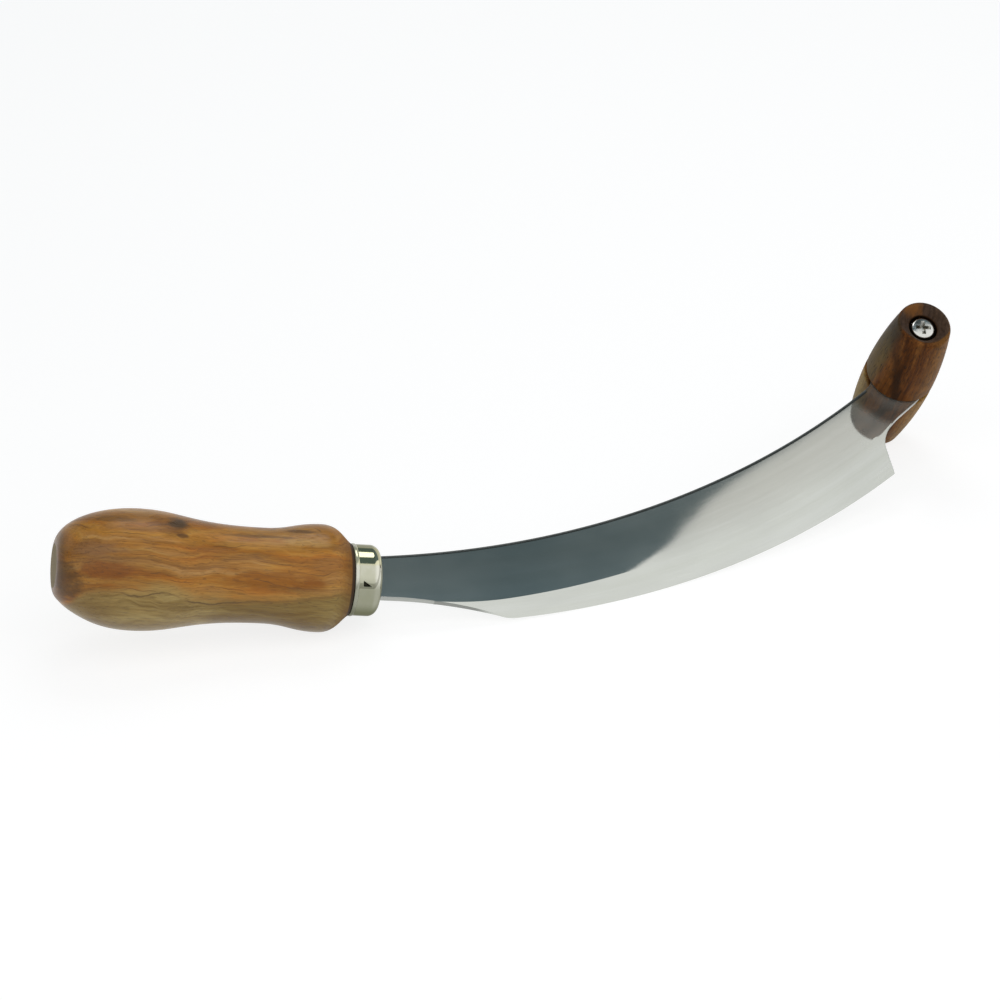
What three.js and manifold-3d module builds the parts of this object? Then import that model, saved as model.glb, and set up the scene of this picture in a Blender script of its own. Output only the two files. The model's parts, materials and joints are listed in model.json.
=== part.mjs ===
// Two-handled rocking cheese knife, lying on a table as it rests by itself.
//
// The knife is drawn in its own frame and then turned onto the table:
//   x runs along the main handle, from the butt towards the blade
//   y lies in the plane of the blade, towards the spine
//   z is square to the blade, towards its right side
// The finished group has +Z up and its origin under the middle of its box. Millimetres throughout.

import * as THREE from 'three';
import { mergeVertices } from 'three/addons/utils/BufferGeometryUtils.js';
import Module from 'manifold-3d';

const wasm = await Module();
wasm.setup();

// Space left between pieces that touch, and the distance under which two points are one
const GAP = 0.3;
const SAME_POINT = 1e-4;

// How finely the curves are cut into facets
const ROUND = 40;
const HANDLE_CURVE_STEPS = 6;
const FERRULE_CORNER_STEPS = 3;
const BLADE_CURVE_STEPS = 18;
const GRIND_STEPS = 32;
const PLUNGE_STEPS = 6;
const BARREL_STEPS = 6;
const BARREL_EDGE_STEPS = 3;
const DOME_STEPS = 4;
const NUT_HOLE_STEPS = 12;

// Main handle: a turned pear with a waist and a front swell
const HANDLE_LENGTH = 93.4;
const BUTT_RADIUS = 6.7;
const BELLY_X = 25.5;
const BELLY_RADIUS = 19.15;
const WAIST_X = 66;
const WAIST_RADIUS = 15.05;
const SWELL_X = 84;
const SWELL_RADIUS = 17.05;
const NECK_RADIUS = 11.5;
const NECK_FLARE = 1.9;
// How far each curve runs level before it bends, as a share of its stretch
const BELLY_LEVEL = 0.35;
const WAIST_LEVEL = 0.6;
const SWELL_LEVEL = 0.45;
const SHOULDER_LEVEL = 0.55;
const NECK_LEVEL = 0.28;
// The tang's hole, and the nose that the ferrule covers
const BORE_RADIUS = 5.4;
const BORE_BOTTOM = 26;
const DRILL_POINT = 2.7;
const NOSE_CHAMFER = 2;

// Ferrule: a drawn metal cup on the handle's nose, staked to the wood by one punch mark
const FERRULE_RADIUS = 11.3;
const FERRULE_LENGTH = 9;
const FERRULE_WALL = 0.8;
const FERRULE_CORNER = 3;
const STAKE_LENGTH = 3;
const STAKE_HEIGHT = 1.8;
const STAKE_DEPTH = 0.5;
const STAKE_BACK = 2.6;
const PUNCH_HEIGHT = 2;
const STAKE_TURN = THREE.MathUtils.degToRad(36);

// Blade: sheet steel, with arcs for its spine and its cutting edge
const BLADE_THICKNESS = 2;
const SPINE_CENTRE = new THREE.Vector2(75.2, 305.5);
const SPINE_RADIUS = 298.2;
const SPINE_END_X = 272.5;
const EDGE_CENTRE = new THREE.Vector2(99.2, 265);
const EDGE_RADIUS = 280.3;
const EDGE_THICKNESS = 0.2;
const HEEL_X = 147;
const TIP_X = 279.2;
const RICASSO_Y = -6.65;
const RICASSO_END_X = 110;
const HEEL_BEND = new THREE.Vector2(126.9, -6.65);
const HEEL_CURVE_END = new THREE.Vector2(142.3, -10.9);
const HEEL_CORNER = new THREE.Vector2(144.6, -11.6);
const TIP_FACE_TOP = new THREE.Vector2(277, 60.2);
const NOTCH_BEND = new THREE.Vector2(276.6, 66.2);
const NOTCH_END = new THREE.Vector2(284.3, 73.2);
const TAB_SLOPE = new THREE.Vector2(0.727, 0.687);
// The grind gets wider from the heel to a place past the tip, and the wedge that cuts it stands over
const GRIND_AT_HEEL = 6.8;
const GRIND_AT_TIP = 14;
const GRIND_PAST_TIP = 10;
const GRIND_OVER = 3;
const PLUNGE_START = new THREE.Vector2(116, -6.9);
const PLUNGE_BEND = new THREE.Vector2(131.5, -7.7);

// Tang: the stick that the resin holds inside the handle
const TANG_END_X = 30;
const TANG_HALF_WIDTH = 4;
const TANG_TIP_HALF_WIDTH = 2.75;

// Cross grip: two barrels on one axis, square to the blade
const GRIP_AXIS = new THREE.Vector2(285.15, 89.2);
const GRIP_HALF_LENGTH = 30.8;
const GRIP_RADIUS = 11.65;
const GRIP_END_RADIUS = 8.8;
const GRIP_EDGE_ROUND = 1.5;
const EYE_RADIUS = 9.8;
const EYE_END_ANGLE = THREE.MathUtils.degToRad(175);
const EYE_FILLET_X = 276;
// Each end is hollowed from its rim down to the mouth of the counterbore
const COUNTERBORE_RADIUS = 4.85;
const COUNTERBORE_MOUTH = 28.5;
const RIGHT_FLOOR = 25.4;
const LEFT_FLOOR = 24.4;

// Fasteners of the cross grip: an M4 pan head screw of 55 mm, sleeve, washer and nut
const SLEEVE_RADIUS = 3;
const SCREW_RADIUS = 2;
const SCREW_LENGTH = 55;
const HEAD_RADIUS = 4;
const HEAD_HEIGHT = 3.1;
// The head's straight side and the pulls of its dome, as shares of its height and radius
const HEAD_SIDE = 0.55;
const DOME_RISE = 0.97;
const DOME_REACH = 0.9;
const SCREW_CHAMFER = 0.5;
const RECESS_WIDTH = 1.2;
const RECESS_SPAN = 5;
const RECESS_DEPTH = 1.5;
const WASHER_RADIUS = 4.5;
const WASHER_THICKNESS = 0.8;
const NUT_ACROSS_FLATS = 7;
const NUT_HEIGHT = 3.2;

// How many spots on the cutting edge are tried for the lowest, and how many up directions
const EDGE_TRIALS = 400;
const REST_TRIALS = 60;

// Solids for cutting and joining

function solidOf(geometry) {
  const bare = geometry.clone();
  bare.deleteAttribute('normal');
  bare.deleteAttribute('uv');
  const merged = mergeVertices(bare, SAME_POINT);
  return new wasm.Manifold(new wasm.Mesh({
    numProp: 3,
    vertProperties: new Float32Array(merged.attributes.position.array),
    triVerts: new Uint32Array(merged.index.array),
  }));
}

function geometryOf(solid) {
  const mesh = solid.getMesh();
  const geometry = new THREE.BufferGeometry();
  geometry.setAttribute('position', new THREE.BufferAttribute(mesh.vertProperties, 3));
  geometry.setIndex(new THREE.BufferAttribute(mesh.triVerts, 1));
  geometry.computeVertexNormals();
  return geometry;
}

// A turning round the x axis or round the z axis, from points (radius, distance along the axis)

function turnedAlongX(profile) {
  return new THREE.LatheGeometry(profile, ROUND).rotateZ(-Math.PI / 2);
}

function turnedAlongZ(profile) {
  return new THREE.LatheGeometry(profile, ROUND).rotateX(Math.PI / 2);
}

function point(radius, along) {
  return new THREE.Vector2(radius, along);
}

// A closed body through rings of the same number of points, capped at both ends

function loft(rings) {
  const count = rings[0].length;
  const index = [];
  for (let ring = 0; ring + 1 < rings.length; ring += 1) {
    for (let i = 0; i < count; i += 1) {
      const j = (i + 1) % count;
      const a = ring * count + i;
      const b = ring * count + j;
      index.push(a, b, b + count, a, b + count, a + count);
    }
  }
  const last = (rings.length - 1) * count;
  for (let i = 1; i + 1 < count; i += 1) {
    index.push(0, i + 1, i, last, last + i, last + i + 1);
  }
  const geometry = new THREE.BufferGeometry().setFromPoints(rings.flat());
  geometry.setIndex(index);
  return geometry;
}

// Main handle

function handleProfile() {
  const outline = new THREE.Path();
  outline.moveTo(BUTT_RADIUS, 0);
  outline.absellipse(
    BUTT_RADIUS, BELLY_X, BELLY_RADIUS - BUTT_RADIUS, BELLY_X, -Math.PI / 2, 0, false,
  );
  const toWaist = WAIST_X - BELLY_X;
  outline.bezierCurveTo(
    BELLY_RADIUS, BELLY_X + BELLY_LEVEL * toWaist,
    WAIST_RADIUS, WAIST_X - WAIST_LEVEL * toWaist,
    WAIST_RADIUS, WAIST_X,
  );
  const toSwell = SWELL_X - WAIST_X;
  outline.bezierCurveTo(
    WAIST_RADIUS, WAIST_X + SWELL_LEVEL * toSwell,
    SWELL_RADIUS, SWELL_X - SWELL_LEVEL * toSwell,
    SWELL_RADIUS, SWELL_X,
  );
  const toNeck = HANDLE_LENGTH - SWELL_X;
  outline.bezierCurveTo(
    SWELL_RADIUS, SWELL_X + SHOULDER_LEVEL * toNeck,
    NECK_RADIUS + NECK_FLARE, HANDLE_LENGTH - NECK_LEVEL * toNeck,
    NECK_RADIUS, HANDLE_LENGTH,
  );
  return outline.getPoints(HANDLE_CURVE_STEPS);
}

const SPIGOT_RADIUS = FERRULE_RADIUS - FERRULE_WALL - GAP;
const FERRULE_BACK = HANDLE_LENGTH + GAP;
const FERRULE_FRONT = FERRULE_BACK + FERRULE_LENGTH;
const SPIGOT_END = FERRULE_FRONT - FERRULE_WALL - GAP;

function mainHandle() {
  const profile = [
    point(0, 0),
    ...handleProfile(),
    point(SPIGOT_RADIUS, HANDLE_LENGTH),
    point(SPIGOT_RADIUS, SPIGOT_END - NOSE_CHAMFER),
    point(SPIGOT_RADIUS - NOSE_CHAMFER, SPIGOT_END),
    point(BORE_RADIUS, SPIGOT_END),
    point(BORE_RADIUS, BORE_BOTTOM),
    point(0, BORE_BOTTOM - DRILL_POINT),
  ];
  return turnedAlongX(profile);
}

// Ferrule

function ferrule() {
  const corner = new THREE.Path();
  corner.absarc(
    FERRULE_RADIUS - FERRULE_CORNER, FERRULE_FRONT - FERRULE_CORNER,
    FERRULE_CORNER, 0, Math.PI / 2, false,
  );
  const inside = FERRULE_RADIUS - FERRULE_WALL;
  const floor = FERRULE_FRONT - FERRULE_WALL;
  const cup = turnedAlongX([
    point(0, floor),
    point(inside - NOSE_CHAMFER, floor),
    point(inside, floor - NOSE_CHAMFER),
    point(inside, FERRULE_BACK),
    point(FERRULE_RADIUS, FERRULE_BACK),
    ...corner.getPoints(FERRULE_CORNER_STEPS),
    point(0, FERRULE_FRONT),
  ]);
  const top = spineY(FERRULE_FRONT) + GAP;
  const bottom = RICASSO_Y - GAP;
  const slot = new THREE.BoxGeometry(FERRULE_LENGTH, top - bottom, BLADE_THICKNESS + 2 * GAP);
  slot.translate(FERRULE_FRONT, (top + bottom) / 2, 0);
  return geometryOf(solidOf(cup).subtract(solidOf(slot)).subtract(solidOf(stakeMark())));
}

// The punch mark is a three-cornered dent on the side that faces the cutting edge

function stakeMark() {
  const corners = new THREE.Shape();
  corners.moveTo(0, 0);
  corners.lineTo(STAKE_LENGTH, 0);
  corners.lineTo(0, STAKE_HEIGHT);
  const dent = new THREE.ExtrudeGeometry(corners, { depth: PUNCH_HEIGHT, bevelEnabled: false });
  dent.translate(FERRULE_BACK + STAKE_BACK, -STAKE_HEIGHT / 2, FERRULE_RADIUS - STAKE_DEPTH);
  return dent.rotateX(STAKE_TURN);
}

// Blade

function spineY(x) {
  return SPINE_CENTRE.y - Math.sqrt(SPINE_RADIUS ** 2 - (x - SPINE_CENTRE.x) ** 2);
}

function edgeY(x) {
  return EDGE_CENTRE.y - Math.sqrt(EDGE_RADIUS ** 2 - (x - EDGE_CENTRE.x) ** 2);
}

function spineAngle(x) {
  return Math.atan2(spineY(x) - SPINE_CENTRE.y, x - SPINE_CENTRE.x);
}

function edgeAngle(x) {
  return Math.atan2(edgeY(x) - EDGE_CENTRE.y, x - EDGE_CENTRE.x);
}

const SHOULDER_X = SPIGOT_END + GAP;

function bladeOutline() {
  const outline = new THREE.Shape();
  outline.moveTo(TANG_END_X, -TANG_TIP_HALF_WIDTH);
  outline.lineTo(SHOULDER_X, -TANG_HALF_WIDTH);
  outline.lineTo(SHOULDER_X, RICASSO_Y);
  outline.lineTo(RICASSO_END_X, RICASSO_Y);
  outline.quadraticCurveTo(HEEL_BEND.x, HEEL_BEND.y, HEEL_CURVE_END.x, HEEL_CURVE_END.y);
  outline.quadraticCurveTo(HEEL_CORNER.x, HEEL_CORNER.y, HEEL_X, edgeY(HEEL_X));
  outline.absarc(
    EDGE_CENTRE.x, EDGE_CENTRE.y, EDGE_RADIUS, edgeAngle(HEEL_X), edgeAngle(TIP_X), false,
  );
  outline.lineTo(TIP_FACE_TOP.x, TIP_FACE_TOP.y);
  outline.quadraticCurveTo(NOTCH_BEND.x, NOTCH_BEND.y, NOTCH_END.x, NOTCH_END.y);
  const eyeRight = GRIP_AXIS.x + EYE_RADIUS;
  const bend = NOTCH_END.clone().addScaledVector(TAB_SLOPE, (eyeRight - NOTCH_END.x) / TAB_SLOPE.x);
  outline.lineTo((NOTCH_END.x + bend.x) / 2, (NOTCH_END.y + bend.y) / 2);
  outline.quadraticCurveTo(bend.x, bend.y, eyeRight, GRIP_AXIS.y);
  outline.absarc(GRIP_AXIS.x, GRIP_AXIS.y, EYE_RADIUS, 0, EYE_END_ANGLE, false);
  outline.quadraticCurveTo(
    EYE_FILLET_X, spineY(EYE_FILLET_X), SPINE_END_X, spineY(SPINE_END_X),
  );
  outline.absarc(
    SPINE_CENTRE.x, SPINE_CENTRE.y, SPINE_RADIUS,
    spineAngle(SPINE_END_X), spineAngle(SHOULDER_X), true,
  );
  outline.lineTo(SHOULDER_X, TANG_HALF_WIDTH);
  outline.lineTo(TANG_END_X, TANG_TIP_HALF_WIDTH);
  const hole = new THREE.Path();
  hole.absarc(GRIP_AXIS.x, GRIP_AXIS.y, SLEEVE_RADIUS + GAP, 0, 2 * Math.PI, true);
  outline.holes.push(hole);
  return outline;
}

// The grind is a ramp from the grind line on the side of the blade down to the thin cutting edge.
// Each station gives the grind line, the way towards the edge and the width of the ramp there.

function grindStations() {
  const stations = [];
  const heelAngle = edgeAngle(HEEL_X);
  const heelWay = new THREE.Vector2(Math.cos(heelAngle), Math.sin(heelAngle));
  const heelLine = new THREE.Vector2(HEEL_X, edgeY(HEEL_X)).addScaledVector(heelWay, -GRIND_AT_HEEL);
  const plunge = new THREE.QuadraticBezierCurve(PLUNGE_START, PLUNGE_BEND, heelLine);
  for (const line of plunge.getPoints(PLUNGE_STEPS).slice(0, -1)) {
    stations.push({ line, way: heelWay, width: GRIND_AT_HEEL });
  }
  const pastTip = edgeAngle(TIP_X + GRIND_PAST_TIP);
  for (let i = 0; i <= GRIND_STEPS; i += 1) {
    const share = i / GRIND_STEPS;
    const angle = THREE.MathUtils.lerp(heelAngle, pastTip, share);
    const way = new THREE.Vector2(Math.cos(angle), Math.sin(angle));
    const width = THREE.MathUtils.lerp(GRIND_AT_HEEL, GRIND_AT_TIP, share);
    const line = EDGE_CENTRE.clone().addScaledVector(way, EDGE_RADIUS - width);
    stations.push({ line, way, width });
  }
  return stations;
}

function grindCut(side) {
  const face = BLADE_THICKNESS / 2;
  const rings = grindStations().map(({ line, way, width }) => {
    const slope = (face - EDGE_THICKNESS / 2) / width;
    const inner = line.clone().addScaledVector(way, -GRIND_OVER);
    const outer = line.clone().addScaledVector(way, width + GRIND_OVER);
    const ring = [
      new THREE.Vector3(inner.x, inner.y, side * (face + GRIND_OVER * slope)),
      new THREE.Vector3(outer.x, outer.y, side * (face - (width + GRIND_OVER) * slope)),
      new THREE.Vector3(outer.x, outer.y, side * (face + GRIND_OVER)),
      new THREE.Vector3(inner.x, inner.y, side * (face + GRIND_OVER)),
    ];
    return side > 0 ? ring.reverse() : ring;
  });
  return loft(rings);
}

function blade() {
  const blank = new THREE.ExtrudeGeometry(bladeOutline(), {
    depth: BLADE_THICKNESS,
    bevelEnabled: false,
    curveSegments: BLADE_CURVE_STEPS,
  });
  blank.translate(0, 0, -BLADE_THICKNESS / 2);
  return geometryOf(solidOf(blank).subtract(solidOf(grindCut(1))).subtract(solidOf(grindCut(-1))));
}

// Tang bedding: a plug of resin with the tang's slot

function tangBedding() {
  const plug = turnedAlongX([
    point(0, BORE_BOTTOM + GAP),
    point(BORE_RADIUS - GAP, BORE_BOTTOM + GAP),
    point(BORE_RADIUS - GAP, SPIGOT_END),
    point(0, SPIGOT_END),
  ]);
  const slotEnd = TANG_END_X - 2 * GAP;
  const slot = new THREE.BoxGeometry(
    HANDLE_LENGTH, 2 * (TANG_HALF_WIDTH + GAP), BLADE_THICKNESS + 2 * GAP,
  );
  slot.translate(slotEnd + HANDLE_LENGTH / 2, 0, 0);
  return geometryOf(solidOf(plug).subtract(solidOf(slot)));
}

// Cross grip, drawn on its own axis with z = 0 in the middle of the blade

const GRIP_BASE = BLADE_THICKNESS / 2 + GAP;

function barrelRadius(along) {
  const share = along / GRIP_HALF_LENGTH;
  return GRIP_RADIUS - (GRIP_RADIUS - GRIP_END_RADIUS) * share ** 2;
}

function barrelProfile(floor) {
  const bore = SLEEVE_RADIUS + GAP;
  const profile = [point(bore, GRIP_BASE)];
  // The rim's rounding starts with the lean that the flank has near its end
  const lean = Math.atan(2 * (GRIP_RADIUS - GRIP_END_RADIUS) / GRIP_HALF_LENGTH);
  const roundStart = GRIP_HALF_LENGTH - GRIP_EDGE_ROUND * (1 - Math.sin(lean));
  for (let i = 0; i <= BARREL_STEPS; i += 1) {
    const along = THREE.MathUtils.lerp(GRIP_BASE, roundStart, i / BARREL_STEPS);
    profile.push(point(barrelRadius(along), along));
  }
  const rim = barrelRadius(roundStart) - GRIP_EDGE_ROUND * Math.cos(lean);
  for (let i = 1; i <= BARREL_EDGE_STEPS; i += 1) {
    const angle = THREE.MathUtils.lerp(lean, Math.PI / 2, i / BARREL_EDGE_STEPS);
    profile.push(point(
      rim + GRIP_EDGE_ROUND * Math.cos(angle),
      GRIP_HALF_LENGTH + GRIP_EDGE_ROUND * (Math.sin(angle) - 1),
    ));
  }
  profile.push(point(COUNTERBORE_RADIUS, COUNTERBORE_MOUTH));
  profile.push(point(COUNTERBORE_RADIUS, floor));
  profile.push(point(bore, floor));
  profile.push(point(bore, GRIP_BASE));
  return profile;
}

function rightGrip() {
  return turnedAlongZ(barrelProfile(RIGHT_FLOOR));
}

function leftGrip() {
  return turnedAlongZ(barrelProfile(LEFT_FLOOR)).rotateX(Math.PI);
}

// Fasteners, from the screw head on the right to the nut on the left

const HEAD_SEAT = RIGHT_FLOOR + GAP;
const SLEEVE_END = -LEFT_FLOOR;
const WASHER_TOP = SLEEVE_END - GAP;
const NUT_TOP = WASHER_TOP - WASHER_THICKNESS - GAP;

function ringAlongZ(inner, outer, from, to) {
  return turnedAlongZ([
    point(inner, from), point(outer, from), point(outer, to), point(inner, to), point(inner, from),
  ]);
}

function gripSleeve() {
  return ringAlongZ(SCREW_RADIUS + GAP, SLEEVE_RADIUS, SLEEVE_END, HEAD_SEAT - GAP);
}

function gripScrew() {
  const tip = HEAD_SEAT - SCREW_LENGTH;
  const crown = HEAD_SEAT + HEAD_HEIGHT;
  const dome = new THREE.Path();
  dome.moveTo(HEAD_RADIUS, HEAD_SEAT + HEAD_SIDE * HEAD_HEIGHT);
  dome.bezierCurveTo(
    HEAD_RADIUS, HEAD_SEAT + DOME_RISE * HEAD_HEIGHT,
    DOME_REACH * HEAD_RADIUS, crown,
    0, crown,
  );
  const body = turnedAlongZ([
    point(0, tip),
    point(SCREW_RADIUS - SCREW_CHAMFER, tip),
    point(SCREW_RADIUS, tip + SCREW_CHAMFER),
    point(SCREW_RADIUS, HEAD_SEAT),
    point(HEAD_RADIUS, HEAD_SEAT),
    ...dome.getPoints(DOME_STEPS),
  ]);
  let screw = solidOf(body);
  for (const [width, span] of [[RECESS_WIDTH, RECESS_SPAN], [RECESS_SPAN, RECESS_WIDTH]]) {
    const arm = new THREE.BoxGeometry(width, span, 2 * RECESS_DEPTH);
    arm.translate(0, 0, crown);
    screw = screw.subtract(solidOf(arm));
  }
  return geometryOf(screw);
}

function gripWasher() {
  return ringAlongZ(SCREW_RADIUS + GAP, WASHER_RADIUS, WASHER_TOP - WASHER_THICKNESS, WASHER_TOP);
}

function gripNut() {
  const hexagon = new THREE.Shape();
  const corner = NUT_ACROSS_FLATS / 2 / Math.cos(Math.PI / 6);
  for (let i = 0; i < 6; i += 1) {
    const angle = i * Math.PI / 3;
    hexagon[i ? 'lineTo' : 'moveTo'](corner * Math.cos(angle), corner * Math.sin(angle));
  }
  const hole = new THREE.Path();
  hole.absarc(0, 0, SCREW_RADIUS + GAP, 0, 2 * Math.PI, true);
  hexagon.holes.push(hole);
  const nut = new THREE.ExtrudeGeometry(hexagon, {
    depth: NUT_HEIGHT, bevelEnabled: false, curveSegments: NUT_HOLE_STEPS,
  });
  return nut.translate(0, 0, NUT_TOP - NUT_HEIGHT);
}

// How the knife lies: on the handle's front swell, the cutting edge and the rim of the left barrel.
// Each support gives its lowest point for a trial up direction, and the plane through the three
// points gives the next trial.

function lowestOnEdge(up) {
  let lowest = null;
  for (let i = 0; i <= EDGE_TRIALS; i += 1) {
    const x = THREE.MathUtils.lerp(HEEL_X, TIP_X, i / EDGE_TRIALS);
    const spot = new THREE.Vector3(x, edgeY(x), 0);
    lowest = !lowest || spot.dot(up) < lowest.dot(up) ? spot : lowest;
  }
  return lowest;
}

function lowestOnTurning(profile, start, axis, up) {
  const away = up.clone().addScaledVector(axis, -up.dot(axis)).normalize();
  let lowest = null;
  for (const { x: radius, y: along } of profile) {
    const spot = start.clone().addScaledVector(axis, along).addScaledVector(away, -radius);
    lowest = !lowest || spot.dot(up) < lowest.dot(up) ? spot : lowest;
  }
  return lowest;
}

function restingUp() {
  const handleAxis = new THREE.Vector3(1, 0, 0);
  const leftAxis = new THREE.Vector3(0, 0, -1);
  const gripMiddle = new THREE.Vector3(GRIP_AXIS.x, GRIP_AXIS.y, 0);
  const up = new THREE.Vector3(0, 0, 1);
  for (let trial = 0; trial < REST_TRIALS; trial += 1) {
    const a = lowestOnTurning(handleProfile(), new THREE.Vector3(), handleAxis, up);
    const b = lowestOnEdge(up);
    const c = lowestOnTurning(barrelProfile(LEFT_FLOOR), gripMiddle, leftAxis, up);
    const normal = b.sub(a).cross(c.sub(a)).normalize();
    up.add(normal).normalize();
  }
  return up;
}

// Assembly

const STEEL = { color: 0xb9bcb6, roughness: 0.12, metalness: 1 };
const NICKEL = { color: 0xcfcfc4, roughness: 0.15, metalness: 1 };
const ZINC = { color: 0xc9c9c6, roughness: 0.25, metalness: 1 };
const HANDLE_WOOD = { color: 0x9a5a2c, roughness: 0.4, metalness: 0 };
const GRIP_WOOD = { color: 0x4a3324, roughness: 0.45, metalness: 0 };
const RESIN = { color: 0x2e2a26, roughness: 0.6, metalness: 0 };

function piece(name, geometry, finish) {
  const mesh = new THREE.Mesh(geometry, new THREE.MeshStandardMaterial(finish));
  mesh.name = name;
  return mesh;
}

const crossGrip = new THREE.Group();
crossGrip.position.set(GRIP_AXIS.x, GRIP_AXIS.y, 0);
crossGrip.add(
  piece('right_grip', rightGrip(), GRIP_WOOD),
  piece('left_grip', leftGrip(), GRIP_WOOD),
  piece('grip_sleeve', gripSleeve(), ZINC),
  piece('grip_screw', gripScrew(), ZINC),
  piece('grip_washer', gripWasher(), ZINC),
  piece('grip_nut', gripNut(), ZINC),
);

const knife = new THREE.Group();
knife.add(
  piece('main_handle', mainHandle(), HANDLE_WOOD),
  piece('ferrule', ferrule(), NICKEL),
  piece('blade', blade(), STEEL),
  piece('tang_bedding', tangBedding(), RESIN),
  crossGrip,
);

// The handle's axis, seen from above, lies along +X of the table
const up = restingUp();
const along = new THREE.Vector3(1, 0, 0).addScaledVector(up, -up.x).normalize();
const across = up.clone().cross(along);
knife.quaternion.setFromRotationMatrix(new THREE.Matrix4().makeBasis(along, across, up).transpose());

const part = new THREE.Group();
part.add(knife);
part.updateMatrixWorld(true);
const box = new THREE.Box3().setFromObject(part, true);
const middle = box.getCenter(new THREE.Vector3());
knife.position.set(-middle.x, -middle.y, -box.min.z);
part.updateMatrixWorld(true);

export default part;
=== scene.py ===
"""Looks of a two-handled rocking cheese knife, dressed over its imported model."""

import json
import math
from functools import partial, reduce

import bmesh
import bpy
import numpy as np
from mathutils import Matrix, Quaternion, Vector
from mathutils.geometry import tessellate_polygon

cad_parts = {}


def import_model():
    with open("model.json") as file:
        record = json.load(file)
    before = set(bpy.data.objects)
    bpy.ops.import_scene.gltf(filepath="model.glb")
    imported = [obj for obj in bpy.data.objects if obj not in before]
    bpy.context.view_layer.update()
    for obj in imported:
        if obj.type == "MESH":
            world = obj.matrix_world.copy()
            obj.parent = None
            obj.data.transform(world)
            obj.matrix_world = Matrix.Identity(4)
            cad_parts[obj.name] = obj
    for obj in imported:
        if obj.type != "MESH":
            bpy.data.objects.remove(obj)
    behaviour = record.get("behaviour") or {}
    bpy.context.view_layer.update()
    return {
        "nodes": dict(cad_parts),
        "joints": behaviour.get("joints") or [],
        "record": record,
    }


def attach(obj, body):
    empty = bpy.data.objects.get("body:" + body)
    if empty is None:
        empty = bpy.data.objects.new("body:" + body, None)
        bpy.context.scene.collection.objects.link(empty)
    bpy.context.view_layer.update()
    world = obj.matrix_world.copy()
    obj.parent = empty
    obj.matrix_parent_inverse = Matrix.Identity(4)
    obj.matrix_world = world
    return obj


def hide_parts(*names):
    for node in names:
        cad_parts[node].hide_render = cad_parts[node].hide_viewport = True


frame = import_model()

# Sizes are in millimetres, in the knife's own frame: x runs along the main handle from the butt,
# y lies in the plane of the blade towards the spine, and z is square to the blade.
MM = 0.001
GAP = 0.3

# Main handle
HANDLE_LENGTH = 93.4
BUTT_RADIUS = 6.7
BELLY_X = 25.5
BELLY_RADIUS = 19.15
WAIST_X = 66
WAIST_RADIUS = 15.05
SWELL_X = 84
SWELL_RADIUS = 17.05
NECK_RADIUS = 11.5
NECK_FLARE = 1.9
BELLY_LEVEL = 0.35
WAIST_LEVEL = 0.6
SWELL_LEVEL = 0.45
SHOULDER_LEVEL = 0.55
NECK_LEVEL = 0.28
BORE_RADIUS = 5.4
BORE_BOTTOM = 26
NOSE_CHAMFER = 2
# The butt is sanded off a little on one side
SANDED_DEPTH = 1.1
SANDED_X = 5
SANDED_REACH = 8
SANDED_WAY = math.radians(239)
DRILL_POINT = 2.7

# Ferrule
FERRULE_RADIUS = 11.3
FERRULE_LENGTH = 9
FERRULE_WALL = 0.8
FERRULE_CORNER = 3
BEAD_HEIGHT = 0.26
BEAD_LENGTH = 1.3
STAKE_LENGTH = 3
STAKE_HEIGHT = 1.8
STAKE_DEPTH = 0.6
STAKE_WALL = 0.35
STAKE_BACK = 2.6
STAKE_TURN = math.radians(36)

# Blade
BLADE_THICKNESS = 2
SPINE_CENTRE = (75.2, 305.5)
SPINE_RADIUS = 298.2
SPINE_END_X = 272.5
EDGE_CENTRE = (99.2, 265)
EDGE_RADIUS = 280.3
EDGE_THICKNESS = 0.2
HEEL_X = 147
TIP_X = 279.2
RICASSO_Y = -6.65
RICASSO_END_X = 110
HEEL_BEND = (126.9, -6.65)
HEEL_CURVE_END = (142.3, -10.9)
HEEL_CORNER = (144.6, -11.6)
TIP_FACE_TOP = (277, 60.2)
NOTCH_BEND = (276.6, 66.2)
NOTCH_END = (284.3, 73.2)
TAB_SLOPE = (0.727, 0.687)
GRIND_AT_HEEL = 6.8
GRIND_AT_TIP = 14
GRIND_PAST_TIP = 10
PLUNGE_START = (116, -6.9)
PLUNGE_BEND = (131.5, -7.7)
RIM_ROUND = 0.2
SPINE_ROUND = 1.1
RICASSO_ROUND = 0.5
ROUND_FALL = 0.3
BLADE_CREASE = math.radians(2.2)
# How dark and dull the blade's narrow walls are made, from polished to raw: partly the walls' raw
# steel, partly painted shade for the dark they mirror
SPINE_RAW_SHADE = 1.0
NOTCH_RAW_SHADE = 0.3
EYE_RAW_SHADE = 0.8
HEEL_RAW_SHADE = 0.65
HEEL_FADE = (134, 140)
RICASSO_RAW_SHADE = 0.4
TANG_END_X = 30
TANG_HALF_WIDTH = 4
TANG_TIP_HALF_WIDTH = 2.75

# Cross grip and its fasteners
GRIP_AXIS = (285.15, 89.2)
GRIP_HALF_LENGTH = 30.8
GRIP_RADIUS = 11.65
GRIP_END_RADIUS = 8.8
GRIP_EDGE_ROUND = 1.5
EYE_RADIUS = 9.8
EYE_END_ANGLE = math.radians(175)
EYE_FILLET_X = 276
COUNTERBORE_RADIUS = 4.85
COUNTERBORE_MOUTH = 28.5
COUNTERBORE_ROUND = 0.3
HOLLOW_ROUND = 0.6
RIGHT_FLOOR = 25.4
LEFT_FLOOR = 24.4
SLEEVE_RADIUS = 3
SCREW_RADIUS = 2
SCREW_LENGTH = 55
THREAD_PITCH = 0.7
THREAD_DEPTH = 0.3
THREAD_LENGTH = 14
THREAD_STEPS = 10
HEAD_RADIUS = 4
HEAD_HEIGHT = 3.1
HEAD_SIDE = 0.55
DOME_RISE = 0.97
DOME_REACH = 0.9
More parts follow.
